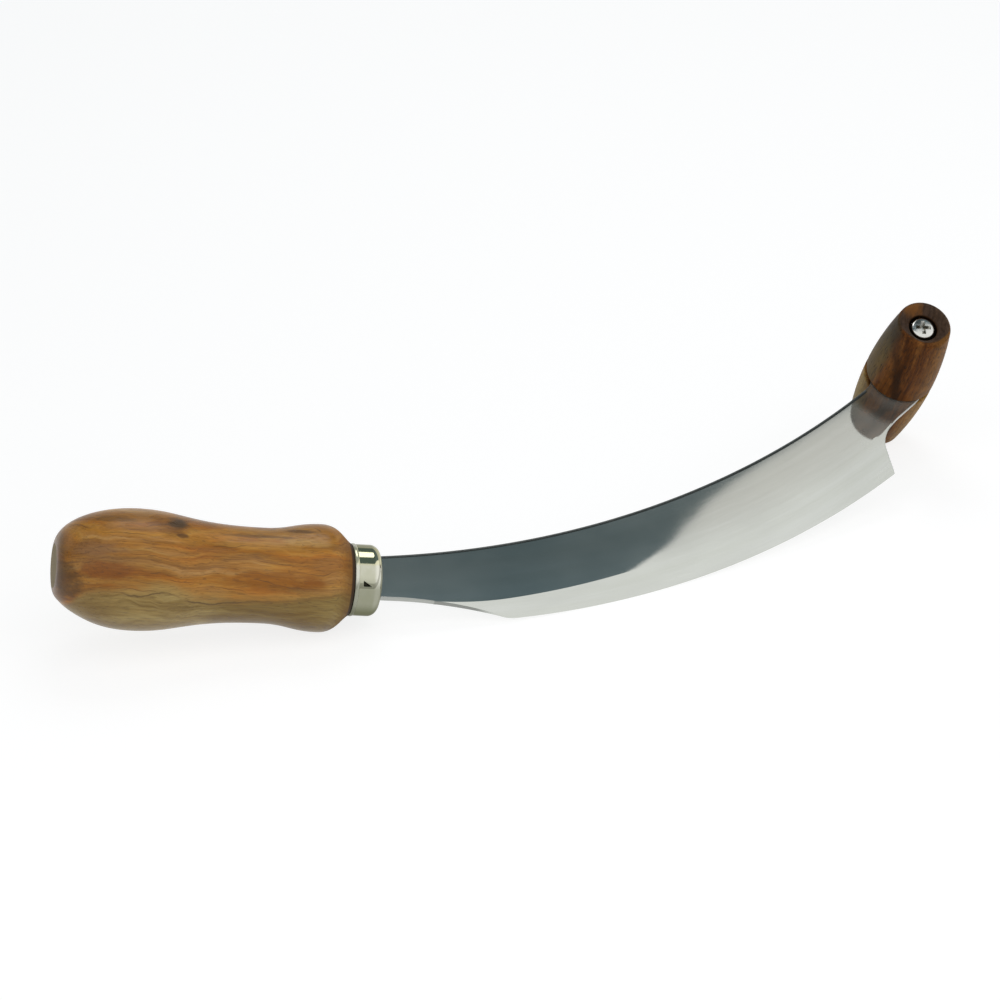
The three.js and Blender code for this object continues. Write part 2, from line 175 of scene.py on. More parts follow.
HEAD_EASE = 0.2
RECESS_WIDTH = 1.3
RECESS_SPAN = 5.2
RECESS_DEPTH = 1.4
RECESS_TAPER = 0.5
WASHER_RADIUS = 4.5
WASHER_THICKNESS = 0.8
WASHER_EASE = 0.12
NUT_ACROSS_FLATS = 7
NUT_HEIGHT = 3.2
NUT_PLAY = 0.06
NUT_BORE_EASE = 0.3
NUT_FACE_SHARE = 0.95
NUT_CORNER_SLOPE = math.radians(30)

# Places that follow from those sizes
SPIGOT_RADIUS = FERRULE_RADIUS - FERRULE_WALL - GAP
FERRULE_BACK = HANDLE_LENGTH + GAP
FERRULE_FRONT = FERRULE_BACK + FERRULE_LENGTH
BEAD_END = FERRULE_BACK + BEAD_LENGTH
SPIGOT_END = FERRULE_FRONT - FERRULE_WALL - GAP
SHOULDER_X = SPIGOT_END + GAP
GRIP_BASE = BLADE_THICKNESS / 2 + GAP
HEAD_SEAT = RIGHT_FLOOR + GAP
WASHER_TOP = -LEFT_FLOOR - GAP
NUT_TOP = WASHER_TOP - WASHER_THICKNESS - GAP

# The camera: its place and aim in the row frame in metres, its roll and its lens
CAMERA_PLACE = Vector((-0.23517, -1.40074, 0.79245))
CAMERA_AIM = Vector((-0.00362, -0.00582, 0.02))
CAMERA_ROLL = math.radians(-0.694)
CAMERA_LENS = 180
# Turning the knife by this much about x puts the picture's up along z
PICTURE_TURN = math.radians(59)


# The knife's frame, from the joint's axis and the butt's flat

def knife_matrix():
    spin = frame["joints"][0]
    butt = next(m for m in frame["record"]["mounts"] if m["name"] == "handle_butt")
    along = -Vector(butt["axis"])
    right = Vector(spin["axis"])
    spineward = right.cross(along)
    origin = Vector(spin["pos_m"]) - (along * GRIP_AXIS[0] + spineward * GRIP_AXIS[1]) * MM
    turn = Matrix((along, spineward, right)).transposed().to_4x4()
    return Matrix.Translation(origin) @ turn


KNIFE = knife_matrix()
CROSS_GRIP = KNIFE @ Matrix.Translation(Vector((*GRIP_AXIS, 0)) * MM)


# Curves

def bezier(points, steps):
    """Points on a Bezier curve of any degree, without its first point."""
    places = [np.array(p, float) for p in points]
    degree = len(places) - 1
    made = []
    for t in np.linspace(0, 1, steps + 1)[1:]:
        weights = [math.comb(degree, k) * t**k * (1 - t) ** (degree - k) for k in range(degree + 1)]
        made.append(tuple(sum(w * p for w, p in zip(weights, places))))
    return made


def arc(centre, radius, start, end, steps):
    """Points on an arc, both ends with it; radius may be one number or one for each axis."""
    across, up = radius if isinstance(radius, tuple) else (radius, radius)
    angles = np.linspace(start, end, steps + 1)
    return [(centre[0] + across * math.cos(a), centre[1] + up * math.sin(a)) for a in angles]


# Meshes

def bridge(bm, first, second, flip=False, closed=True):
    """Smooth faces between two rows of points."""
    made = []
    for i in range(len(first) - (not closed)):
        j = (i + 1) % len(first)
        corners = [first[i], first[j], second[j], second[i]]
        made.append(bm.faces.new(corners[::-1] if flip else corners))
        made[-1].smooth = True
    return made


def turning(profile, segments, closed=False):
    """A turning round z from (radius, along) pairs that end on the axis or form a closed loop."""
    bm = bmesh.new()
    angles = [2 * math.pi * i / segments for i in range(segments)]
    rings = [
        [bm.verts.new((r * math.cos(a), r * math.sin(a), z)) for a in angles] for r, z in profile
    ]
    for low, high in zip(rings, rings[1:] + (rings[:1] if closed else [])):
        bridge(bm, low, high)
    bmesh.ops.remove_doubles(bm, verts=bm.verts, dist=1e-5)
    bmesh.ops.recalc_face_normals(bm, faces=bm.faces)
    return bm


def lay_along_x(bm):
    """Turns a turning round z into one round x."""
    z_to_x = Matrix(((0, 0, 1), (1, 0, 0), (0, 1, 0))).to_4x4()
    bmesh.ops.transform(bm, verts=bm.verts, matrix=z_to_x)
    return bm


def placed(name, data):
    """A new object in the scene."""
    made = bpy.data.objects.new(name, data)
    bpy.context.scene.collection.objects.link(made)
    return made


def bare_object(name, bm):
    mesh = bpy.data.meshes.new(name)
    bm.to_mesh(mesh)
    bm.free()
    return placed(name, mesh)


def cut_away(bm, cutter_bm):
    """The first body without the second."""
    body = bare_object("cut_body", bm)
    cutter = bare_object("cutter", cutter_bm)
    cut = body.modifiers.new("cut", "BOOLEAN")
    cut.operation = "DIFFERENCE"
    cut.solver = "EXACT"
    cut.object = cutter
    result = bmesh.new()
    result.from_object(body, bpy.context.evaluated_depsgraph_get())
    for temporary in (body, cutter):
        bpy.data.meshes.remove(temporary.data)
    return result


def piece(name, bm, place, material, node, body="knife", sharp=35):
    """A finished piece on a body, in place of a CAD node; its points keep their own-frame place."""
    own_place = bm.verts.layers.float_vector.new("place")
    for vert in bm.verts:
        vert[own_place] = vert.co
        vert.co = place @ (vert.co * MM)
    made = bare_object(name, bm)
    made.data.materials.append(material)
    if sharp:
        made.data.shade_smooth()
        made.data.set_sharp_from_angle(angle=math.radians(sharp))
    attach(made, body)
    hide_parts(node)


# Materials

def rgba(value):
    """A colour with its alpha, or any other value as it is."""
    return (*value, 1) if isinstance(value, tuple) else value


class Paint:
    """A procedural material or world; each short call adds nodes and gives back their result."""

    def __init__(self, name, kind=bpy.data.materials):
        self.owner = kind.new(name)
        self.owner.use_nodes = True
        self.tree = self.owner.node_tree
        self.tree.nodes.clear()

    def node(self, kind, inputs, **settings):
        """A new node; an input is another node's result or a value."""
        made = self.tree.nodes.new(kind)
        for key, value in settings.items():
            setattr(made, key, value)
        for key, value in inputs.items():
            if isinstance(value, bpy.types.NodeSocket):
                self.tree.links.new(value, made.inputs[key])
            else:
                made.inputs[key].default_value = value
        return made

    def add(self, kind, inputs, **settings):
        """The first result of a new node."""
        return self.node(kind, inputs, **settings).outputs[0]

    def held(self, name, result="Fac"):
        """What the mesh holds under that name."""
        return self.node("ShaderNodeAttribute", {}, attribute_name=name).outputs[result]

    def place(self):
        """Where a point is in its piece's own frame, in millimetres."""
        return self.held("place", "Vector")

    def place_in_row(self):
        """Where a point of a CAD node is in the row's frame, in millimetres."""
        return self.scaled(self.node("ShaderNodeTexCoord", {}).outputs["Object"], (1 / MM,) * 3)

    def scaled(self, vector, factors):
        return self.add("ShaderNodeVectorMath", {0: vector, 1: factors}, operation="MULTIPLY")

    def from_centre(self, vector, centre, factors):
        """The way from a centre, with each axis scaled."""
        way = self.add("ShaderNodeVectorMath", {0: vector, 1: centre}, operation="SUBTRACT")
        return self.scaled(way, factors)

    def turned_about_x(self, vector, angle):
        return self.add("ShaderNodeMapping", {"Vector": vector, "Rotation": (angle, 0, 0)})

    def split(self, vector):
        return self.node("ShaderNodeSeparateXYZ", {0: vector}).outputs

    def join(self, x, y, z):
        return self.add("ShaderNodeCombineXYZ", {0: x, 1: y, 2: z})

    def length(self, vector):
        return self.node("ShaderNodeVectorMath", {0: vector}, operation="LENGTH").outputs["Value"]

    def math(self, operation, *values):
        return self.add("ShaderNodeMath", dict(enumerate(values)), operation=operation)

    def times(self, *factors):
        """The product of the values."""
        return reduce(partial(self.math, "MULTIPLY"), factors)

    def plus(self, *values):
        """The sum of the values."""
        return reduce(partial(self.math, "ADD"), values)

    def noise(self, vector, scale, detail=2.0, roughness=0.5):
        """Noise with a scale of its own on each axis."""
        place = self.scaled(vector, scale)
        inputs = {"Vector": place, "Scale": 1.0, "Detail": detail, "Roughness": roughness}
        return self.add("ShaderNodeTexNoise", inputs)

    def wander(self, vector, scale, reach, detail=2.0):
        """Noise that goes to both sides of nought."""
        return self.math("MULTIPLY_ADD", self.noise(vector, scale, detail), 2 * reach, -reach)

    def between(self, value, low, high, start=0.0, end=1.0, easing="SMOOTHSTEP"):
        """Goes from start to end as the value goes from low to high."""
        inputs = {"Value": value, "From Min": low, "From Max": high, "To Min": start, "To Max": end}
        return self.add("ShaderNodeMapRange", inputs, interpolation_type=easing)

    def mix(self, first, second, *shares, blend="MIX"):
        """A colour with a second one over it, by the product of the shares."""
        # Inputs 6 and 7 and output 2 are the node's sockets for colours
        inputs = {0: self.times(*shares), 6: rgba(first), 7: rgba(second)}
        return self.node("ShaderNodeMix", inputs, data_type="RGBA", blend_type=blend).outputs[2]

    def tinted(self, colour, tint, share=1.0):
        """A colour multiplied by a tint."""
        return self.mix(colour, tint, share, blend="MULTIPLY")

    def ramp(self, value, stops):
        made = self.node("ShaderNodeValToRGB", {0: value})
        elements = made.color_ramp.elements
        while len(elements) < len(stops):
            elements.new(0.5)
        for element, (position, colour) in zip(elements, stops):
            element.position = position
            element.color = rgba(colour)
        return made.outputs[0]

    def toned(self, colour, value, low, high):
        """A colour made darker or lighter by a noise."""
        return self.tinted(colour, self.ramp(value, [(0.3, (low,) * 3), (0.7, (high,) * 3)]))

    def bump(self, height, strength, depth):
        """A bump of that depth in millimetres."""
        inputs = {"Height": height, "Strength": strength, "Distance": depth * MM}
        return self.add("ShaderNodeBump", inputs)

    def spot(self, place, centre, reach, edge):
        """One inside a soft ellipsoid and nought outside, with a ragged edge."""
        away = self.from_centre(place, centre, tuple(1 / r for r in reach))
        return self.between(self.plus(self.length(away), edge), 1.0, 0.35)

    def curve(self, value, points):
        """A smooth curve through points (value, result), all from nought to one."""
        made = self.node("ShaderNodeFloatCurve", {"Value": value})
        line = made.mapping.curves[0]
        for _ in points[2:]:
            line.points.new(0.5, 0.5)
        for dot, place in zip(line.points, points):
            dot.location = place
        made.mapping.update()
        return made.outputs[0]

    def principled(self, **inputs):
        named = {key.replace("_", " "): rgba(value) for key, value in inputs.items()}
        self.output(self.add("ShaderNodeBsdfPrincipled", named))
        return self.owner

    def output(self, surface):
        self.node("ShaderNodeOutputMaterial", {"Surface": surface})


# Stains in the handle's wood, and two painted highlights on the swell: centre, reach, colour and
# strength, in the grain's frame
HANDLE_STAINS_AND_HIGHLIGHTS = [
    ((14, -17.5, -0.4), (12, 10, 4.2), (0.245, 0.075, 0.006), 0.85),
    ((66, -15, -1.2), (22, 10, 4.4), (0.310, 0.106, 0.006), 0.80),
    ((10, -15, 6.2), (14, 12, 3.4), (0.264, 0.127, 0.045), 0.80),
    ((2.5, -11, -5), (6.5, 10, 8.5), (0.105, 0.046, 0.010), 0.80),
    ((2.5, -9, 8.5), (5, 8, 4), (0.360, 0.175, 0.060), 0.70),
    ((17, -9, 15.4), (11, 7, 1.2), (0.215, 0.094, 0.014), 0.75),
    ((34, -10, 13.4), (9, 8, 4.2), (0.215, 0.082, 0.009), 0.80),
    ((37, -10, 14.8), (5.0, 6, 2.6), (0.085, 0.050, 0.022), 0.90),
    ((38, -13.8, 11.2), (2.6, 5, 0.9), (0.120, 0.055, 0.018), 0.80),
    # Painted highlights: these two light patches stand for the lamp's sheen on the swell's upper
    # front
    ((62, -12, 9.3), (20, 10, 1.8), (0.520, 0.265, 0.056), 0.65),
    ((78, -11.5, 10.9), (10, 8, 1.8), (0.600, 0.340, 0.095), 0.65),
    ((63, -9, 12.2), (16, 6, 0.75), (0.150, 0.070, 0.018), 0.65),
    ((76, -7, 14.3), (7, 6, 0.7), (0.150, 0.072, 0.020), 0.80),
    ((49, -13, 7.6), (10, 8, 1.2), (0.250, 0.105, 0.026), 0.50),
    ((79, -16.5, -2.4), (7, 8, 2.6), (0.280, 0.088, 0.003), 0.85),
    ((85, -14, 4), (7, 9, 5.0), (0.330, 0.140, 0.030), 0.50),
]
# The edge of the pale sapwood: its height for places along the handle
SAPWOOD_EDGE = [
    (0, -14), (4, -12), (9, -8), (15.8, -7.2), (24, -8.1), (32, -6.7), (40, -8.7), (46, -9.5),
    (58, -8.7), (71, -7.7), (80, -6.1), (88, -4.9), (100, -4.5),
]
GRAIN_SPAN = 100
SAPWOOD_DROP = 20


def heartwood(paint, grain, layers):
    """The handle's brown heart: streaks and stains, with painted highlights on the belly's top and
    the swell.
    """
    along, _, up = paint.split(grain)
    tone = paint.noise(layers, (0.026, 0.05, 0.46), 5, 0.62)
    heart = paint.ramp(tone, [
        (0.33, (0.225, 0.094, 0.013)),
        (0.44, (0.345, 0.147, 0.020)),
        (0.54, (0.415, 0.185, 0.028)),
        (0.68, (0.500, 0.254, 0.048)),
    ])
    hue = paint.noise(layers, (0.030, 0.07, 0.30), 3)
    heart = paint.tinted(heart, paint.ramp(hue, [
        (0.34, (1.02, 0.84, 0.55)),
        (0.50, (1.00, 1.00, 1.00)),
        (0.66, (0.95, 1.03, 1.75)),
    ]))
    heart = paint.toned(heart, paint.between(along, 15, 50), 0.92, 1.10)
    # Painted highlight: the top of the belly is made lighter where the lamp's sheen falls
    belly = paint.times(paint.between(along, 42, 30), paint.between(up, 5, 10))
    heart = paint.tinted(heart, (1.22, 1.20, 1.20), belly)
    ragged = paint.wander(grain, (0.16, 0.4, 0.5), 0.55, 4)
    for centre, reach, colour, share in HANDLE_STAINS_AND_HIGHLIGHTS:
        stain_and_highlight = paint.spot(grain, centre, reach, ragged)
        heart = paint.mix(heart, colour, stain_and_highlight, share)
    return heart


def sapwood(paint, along, layers):
    """The handle's pale side, browner by the butt and behind the swell."""
    tone = paint.noise(layers, (0.03, 0.1, 0.55), 5, 0.62)
    pale = paint.ramp(tone, [
        (0.34, (0.195, 0.116, 0.023)),
        (0.48, (0.296, 0.192, 0.050)),
        (0.66, (0.390, 0.275, 0.086)),
    ])
    brown = paint.plus(
        paint.between(along, 45, 58, 0.0, 0.5),
        paint.between(along, 24, 8, 0.0, 0.5),
        paint.between(along, 76, 86, 0.0, -0.45),
    )
    pale = paint.mix(pale, (0.175, 0.092, 0.015), brown)
    return paint.tinted(pale, (1.15, 1.18, 1.40), paint.between(along, 54, 44))


def handle_wood():
    """Streaked brown hardwood with a pale sapwood side, grain along x."""
    paint = Paint("handle_wood")
    grain = paint.turned_about_x(paint.place(), PICTURE_TURN)
    along, depth, up = paint.split(grain)
    sway = paint.wander(grain, (0.035, 0.05, 0.05), 5)
    ripple = paint.wander(grain, (0.13, 0.12, 0.14), 1.5)
    layer = paint.plus(up, sway, ripple)
    layers = paint.join(along, depth, layer)

    heart = heartwood(paint, grain, layers)
    edge = paint.curve(
        paint.times(along, 1 / GRAIN_SPAN),
        [(x / GRAIN_SPAN, 1 + y / SAPWOOD_DROP) for x, y in SAPWOOD_EDGE],
    )
    edge = paint.math("MULTIPLY_ADD", edge, SAPWOOD_DROP, -SAPWOOD_DROP)
    above = paint.math("SUBTRACT", up, edge)
    above = paint.plus(above, paint.wander(grain, (0.22, 0.15, 0.3), 0.9, 3))
    patchy = paint.between(paint.noise(layers, (0.05, 0.1, 0.3)), 0.30, 0.46)
    by_border = paint.between(above, 5.0, 1.0)
    along_belly = paint.times(paint.between(along, 14, 24), paint.between(along, 46, 56, 1.0, 0.3))
    heart = paint.mix(heart, (0.405, 0.262, 0.080), by_border, patchy, along_belly, 0.85)

    ring = paint.math("PINGPONG", paint.times(layer, 0.40), 0.5)
    line = paint.between(ring, 0.085, 0.0)
    broken = paint.between(paint.noise(layers, (0.06, 0.1, 0.4)), 0.50, 0.60)
    heart = paint.mix(heart, (0.120, 0.054, 0.017), line, broken, 0.65)

    colour = paint.mix(heart, sapwood(paint, along, layers), paint.between(above, 1.8, -1.4))
    rim = paint.between(paint.math("ABSOLUTE", above), 0.45, 0.05)
    faint = paint.between(paint.noise(grain, (0.09, 0.05, 0.05), 1), 0.34, 0.52)
    fading = paint.times(paint.between(along, 11, 18), paint.between(along, 70, 50, 0.25, 0.75))
    colour = paint.mix(colour, (0.100, 0.058, 0.020), rim, faint, fading)

    fibre = paint.noise(grain, (0.10, 1.1, 2.0), 4, 0.7)
    colour = paint.toned(colour, fibre, 0.82, 1.16)
    pore = paint.between(paint.noise(grain, (0.3, 2.6, 2.6), 0), 0.65, 0.73)
    colour = paint.mix(colour, (0.085, 0.042, 0.014), pore, 0.3)

    radius = paint.length(paint.scaled(grain, (0, 1, 1)))
    butt_ring = paint.between(along, 3.2, 0.8)
    colour = paint.mix(colour, (0.100, 0.056, 0.026), butt_ring, 0.6)
    on_flat = paint.between(radius, BUTT_RADIUS + 0.5, BUTT_RADIUS)
    butt = paint.times(paint.between(along, 0.5, 0.2), on_flat)
    colour = paint.mix(colour, (0.275, 0.220, 0.125), butt, 0.92)
    to_ferrule = paint.math("SUBTRACT", HANDLE_LENGTH, along)
    neck = paint.between(to_ferrule, 6.5, 1.0)
    colour = paint.mix(colour, (0.150, 0.062, 0.014), neck, 0.6)
    # Painted shadow: a near-black ring at the wood's end, in the joint with the ferrule
    joint_shadow = paint.between(to_ferrule, 1.3, 0.7)
    colour = paint.mix(colour, (0.030, 0.015, 0.007), joint_shadow, 0.92)

    rough = paint.between(fibre, 0.3, 0.7, 0.27, 0.36)
    rough = paint.plus(rough, paint.between(to_ferrule, 8, 3, 0.0, 0.4))
    return paint.principled(
        Base_Color=colour,
        Roughness=paint.math("MULTIPLY_ADD", butt, 0.4, rough),
        Normal=paint.bump(paint.math("SUBTRACT", fibre, pore), 0.35, 0.12),
        Specular_IOR_Level=0.33,
    )


def lit(light, *colour):
    return tuple(scale * c for scale, c in zip(light, colour))


def end_grain(paint, place, layers):
    """The dark end of a barrel, browner at its foot, with a painted pool of light near its top."""
    height = paint.split(place)[1]
    dark = paint.noise(layers, (1.2, 0.4, 0.1), 3, 0.6)
    grain = paint.ramp(dark, [(0.35, (0.031, 0.020, 0.014)), (0.65, (0.074, 0.047, 0.033))])
    foot = paint.between(height, -4.0, -7.5, 0.0, 0.6)
    grain = paint.mix(grain, (0.085, 0.040, 0.017), foot)
    # Painted light: a warm lit patch near the top of the end
    from_lit_patch = paint.length(paint.from_centre(place, (-3.6, 6.6, 0), (0.21, 0.24, 0)))
    ragged = paint.wander(place, (0.6, 0.3, 0.3), 0.5, 3)
    lit_patch = paint.between(paint.plus(from_lit_patch, ragged), 1.15, 0.25)
    return paint.mix(grain, (0.190, 0.078, 0.020), lit_patch)


def grip_wood(name, streak_and_shade_share, light=(1, 1, 1), grey_light=(1, 1, 1)):
    """Walnut with a black streak, partly grain and partly painted shade, and a grey flank, grain
    along z; light and grey_light scale its colours as painted light.
    """
    paint = Paint(name)
    place = paint.place()
    across, height, along = paint.split(place)
    radius = paint.length(paint.join(across, height, 0.0))
    sway = paint.wander(place, (0.05, 0.05, 0.07), 1.2)
    layer = paint.plus(across, sway)
    layers = paint.join(layer, height, along)
    tone = paint.noise(layers, (0.55, 0.2, 0.035), 5, 0.62)

    shade = partial(lit, light)
    grey_shade = partial(lit, grey_light)
    warm = paint.ramp(tone, [
        (0.33, shade(0.050, 0.0150, 0.0025)),
        (0.47, shade(0.110, 0.0350, 0.0056)),
        (0.66, shade(0.190, 0.0730, 0.0155)),
    ])
    warm = paint.mix(warm, shade(0.240, 0.115, 0.026), paint.between(layer, 0.5, 7.0, 0.0, 0.6))
    curl = paint.noise(layers, (0.42, 0.3, 0.34), 3, 0.6)
    warm = paint.toned(warm, curl, 0.72, 1.28)
    grey = paint.ramp(tone, [
        (0.34, grey_shade(0.090, 0.058, 0.020)),
        (0.66, grey_shade(0.160, 0.102, 0.036)),
    ])
    reach = paint.math("ABSOLUTE", along)
    grey = paint.mix(grey, grey_shade(0.064, 0.049, 0.024), paint.between(reach, 10, 27, 0.0, 0.85))
    leaning = paint.math("MULTIPLY_ADD", reach, -0.10, layer)
    colour = paint.mix(warm, grey, paint.between(leaning, -10.4, -12.0))
    # Partly a dark grain streak, partly painted shade: a black band down the barrel's front
    slanted = paint.math("MULTIPLY_ADD", reach, 0.22, paint.plus(layer, 3.1))
    streak_and_shade = paint.between(paint.math("ABSOLUTE", slanted), 2.2, 0.4)
    fading = paint.between(reach, 10, 28, 1.0, 0.5)
    colour = paint.mix(colour, shade(0.028, 0.0105, 0.0032), streak_and_shade, fading, streak_and_shade_share)

    fibre = paint.noise(place, (2.2, 1.8, 0.13), 4, 0.7)
    colour = paint.toned(colour, fibre, 0.70, 1.26)
    pore = paint.between(paint.noise(place, (3.0, 3.0, 0.35), 0), 0.64, 0.72)
    colour = paint.mix(colour, shade(0.020, 0.009, 0.004), pore, 0.6)

    limit = paint.between(height, -6.0, -1.0, GRIP_END_RADIUS - 1.1, GRIP_END_RADIUS)
    end = paint.between(paint.math("SUBTRACT", radius, limit), 0.0, -0.6)
    end = paint.times(end, paint.between(reach, COUNTERBORE_MOUTH - 1.2, COUNTERBORE_MOUTH - 0.8))
    colour = paint.mix(colour, end_grain(paint, place, layers), end, 0.9)
    # Painted shade: the counterbore's wall is dark brown at its mouth and near black deeper down
    sunk = paint.between(radius, COUNTERBORE_RADIUS + COUNTERBORE_ROUND, COUNTERBORE_RADIUS + 0.05)
    shadowy = paint.between(reach, COUNTERBORE_MOUTH, COUNTERBORE_MOUTH - 1.0)
    inside = paint.mix((0.050, 0.022, 0.008), (0.010, 0.005, 0.002), shadowy)
    colour = paint.mix(colour, inside, sunk)
    return paint.principled(
        Base_Color=colour,
        Roughness=paint.between(fibre, 0.3, 0.7, 0.46, 0.60),
        Normal=paint.bump(paint.math("SUBTRACT", fibre, pore), 0.4, 0.12),
        Specular_IOR_Level=0.10,
    )


# The scuffed share of the blade's polish, for places along the blade from the ferrule to the tip
BLADE_HAZE_START = 100
BLADE_HAZE_END = 300
BLADE_HAZE = [
    (0.02, 0.08), (0.12, 0.06), (0.26, 0.025), (0.34, 0.05), (0.42, 0.07), (0.50, 0.085),
    (0.68, 0.09), (0.82, 0.25), (0.98, 0.30),
]


def blade_steel():
    """Polished stainless steel with fine brushing that follows the cutting edge."""
    paint = Paint("blade_steel")
    place = paint.place()
    along_x, _, height = paint.split(place)
    away = paint.from_centre(place, (*EDGE_CENTRE, 0), (1, 1, 0))
    x, y, _ = paint.split(away)
    radius = paint.length(away)
    along = paint.times(paint.math("ARCTAN2", y, x), EDGE_RADIUS)
    brushed = paint.join(along, radius, height)
    fine = paint.noise(brushed, (0.05, 5.5, 1), 3, 0.7)
    broad = paint.noise(brushed, (0.012, 0.30, 1), 3, 0.6)
    cloud = paint.noise(brushed, (0.045, 0.07, 1))
    flat = paint.ramp(broad, [(0.32, (0.525, 0.530, 0.480)), (0.68, (0.560, 0.566, 0.520))])
    ground = paint.ramp(broad, [(0.32, (0.625, 0.645, 0.595)), (0.68, (0.660, 0.680, 0.640))])
    near_edge = paint.between(radius, EDGE_RADIUS - 22, EDGE_RADIUS - 5)
    colour = paint.mix(flat, ground, near_edge)
    colour = paint.toned(colour, cloud, 0.96, 1.03)
    colour = paint.toned(colour, fine, 0.97, 1.03)
    # Raw steel and painted shade: the walls' dark colour stands partly for the dark they mirror
    raw_shade = paint.held("raw_shade")
    raw_shaded_steel = paint.ramp(fine, [(0.3, (0.054, 0.059, 0.056)), (0.7, (0.096, 0.102, 0.096))])
    colour = paint.mix(colour, raw_shaded_steel, raw_shade)
    polish = paint.between(along_x, 190, 207, 0.020, 0.052)
    polish = paint.times(polish, paint.between(fine, 0.3, 0.7, 0.85, 1.2))
    share_along = paint.between(along_x, BLADE_HAZE_START, BLADE_HAZE_END, easing="LINEAR")
    from_grip = paint.length(paint.from_centre(place, (*GRIP_AXIS, 0), (1, 1, 0)))
    under_grip = paint.between(from_grip, 17, 13, 0.0, 0.3)
    haze = paint.times(
        paint.curve(share_along, BLADE_HAZE),
        paint.between(cloud, 0.3, 0.7, 0.75, 1.25),
        paint.plus(paint.between(from_grip, 19, 23, 0.28, 1.0), under_grip),
    )
    return paint.principled(
        Base_Color=colour,
        Metallic=paint.math("SUBTRACT", 1.0, haze),
        Roughness=paint.math("MULTIPLY_ADD", raw_shade, 0.3, polish),
        Normal=paint.bump(paint.math("MULTIPLY_ADD", broad, 2.0, fine), 0.03, 0.01),
        Anisotropic=0.25,
        Tangent=paint.add("ShaderNodeTangent", {}, direction_type="UV_MAP", uv_map="along"),
    )


def ferrule_nickel():
    """Bright nickel plate, black in the punch mark, with painted shade on the underside and painted
    highlights and tint above.
    """
    paint = Paint("ferrule_nickel")
    place = paint.place()
    along, _, up = paint.split(paint.turned_about_x(place, PICTURE_TURN))
    scratch = paint.noise(place, (6, 0.5, 0.5), 4, 0.7)
    cloud = paint.between(paint.noise(place, (0.3, 0.3, 0.3)), 0.35, 0.65)
    colour = paint.mix((0.605, 0.605, 0.490), (0.565, 0.567, 0.440), cloud)
    # Painted highlight: the bead's lip and the front shoulder are made lighter
    lip = paint.between(along, BEAD_END + 0.1, BEAD_END - 0.3)
    shoulder = paint.between(along, FERRULE_FRONT - 3.2, FERRULE_FRONT - 2.0)
    colour = paint.mix(colour, (0.790, 0.785, 0.680), paint.math("MAXIMUM", lip, shoulder))
    # Painted highlight colour: a yellow tint on the band around the lamp's reflection
    highlight_band_tint = paint.times(paint.between(up, 4.4, 5.6), paint.between(up, 10.8, 10.0))
    colour = paint.tinted(colour, (1.00, 0.97, 0.78), highlight_band_tint)
    # Painted shade: the ferrule's lower half is made darker, standing for the darker floor it
    # mirrors
    underside_shade = paint.between(up, 1.5, -3.2, 0.0, 0.72)
    underside_shade = paint.plus(underside_shade, paint.between(up, -7.0, -10.5, 0.0, 0.28))
    colour = paint.mix(colour, (0.195, 0.202, 0.132), underside_shade)
    dent = paint.between(paint.held("dent"), 0.0, 0.5)
    colour = paint.mix(colour, (0.030, 0.030, 0.020), dent)
    polish = paint.between(scratch, 0.3, 0.7, 0.06, 0.11)
    return paint.principled(
        Base_Color=colour,
        Metallic=paint.math("MULTIPLY_ADD", lip, -0.45, 1.0),
        Roughness=paint.math("MULTIPLY_ADD", dent, 0.25, polish),
        Normal=paint.bump(scratch, 0.05, 0.02),
        Specular_Tint=(0.55, 0.55, 0.50),
    )


def zinc_plate(name, on_cad_node=False):
    """Bright zinc plate with faint scratches, darker in the recess of the screw's head, and painted
    shade on the crown.
    """
    paint = Paint(name)
    place = paint.place_in_row() if on_cad_node else paint.place()
    scratch = paint.noise(place, (2.5, 2.5, 2.5), 4, 0.7)
    cloud = paint.between(paint.noise(place, (0.25, 0.25, 0.25)), 0.35, 0.65)
    colour = paint.mix((0.780, 0.780, 0.740), (0.690, 0.690, 0.650), cloud)
    if not on_cad_node:
        along = paint.split(place)[2]
        radius = paint.length(paint.scaled(place, (1, 1, 0)))
        crown = HEAD_SEAT + HEAD_HEIGHT
        # The recess of the screw's head is made darker
        recess_darkening = paint.times(
            paint.between(along, crown - 0.3, crown - 0.9),
            paint.between(along, HEAD_SEAT + 0.5, HEAD_SEAT + 0.8),
            paint.between(radius, 3.3, 3.0, 0.0, 0.85),
            paint.between(radius, 0.3, 0.9),
        )
        colour = paint.mix(colour, (0.260, 0.240, 0.190), recess_darkening)
        # Painted shade: a grey patch on the upper left of the head's crown
        from_crown_shade = paint.length(paint.from_centre(place, (-1.2, 1.9, 0), (0.4, 0.6, 0)))
        on_crown = paint.between(along, crown - 2, crown - 1)
        crown_shade = paint.between(from_crown_shade, 1.0, 0.4)
        colour = paint.mix(colour, (0.270, 0.270, 0.250), crown_shade, on_crown)
    return paint.principled(
        Base_Color=colour,
        Metallic=1.0,
        Roughness=paint.between(scratch, 0.3, 0.7, 0.16, 0.26),
        Normal=paint.bump(scratch, 0.06, 0.02),
    )


def bedding_resin():
    """Hard dark resin with a cast surface."""
    paint = Paint("bedding_resin")
    cloud = paint.noise(paint.place_in_row(), (0.8, 0.8, 0.8), 4)
    return paint.principled(
        Base_Color=paint.ramp(cloud, [(0.3, (0.018, 0.014, 0.010)), (0.7, (0.045, 0.036, 0.026))]),
        Roughness=paint.between(cloud, 0.3, 0.7, 0.45, 0.65),
        Normal=paint.bump(cloud, 0.3, 0.1),
    )


# Main handle

def swept(start, end, leave, arrive, steps, flare=0):
    """A curve between two (radius, along) pairs that runs along the turning at both ends."""
    run = end[1] - start[1]
    leaving = (start[0], start[1] + leave * run)
    arriving = (end[0] + flare, end[1] - arrive * run)
    return bezier([start, leaving, arriving, end], steps)


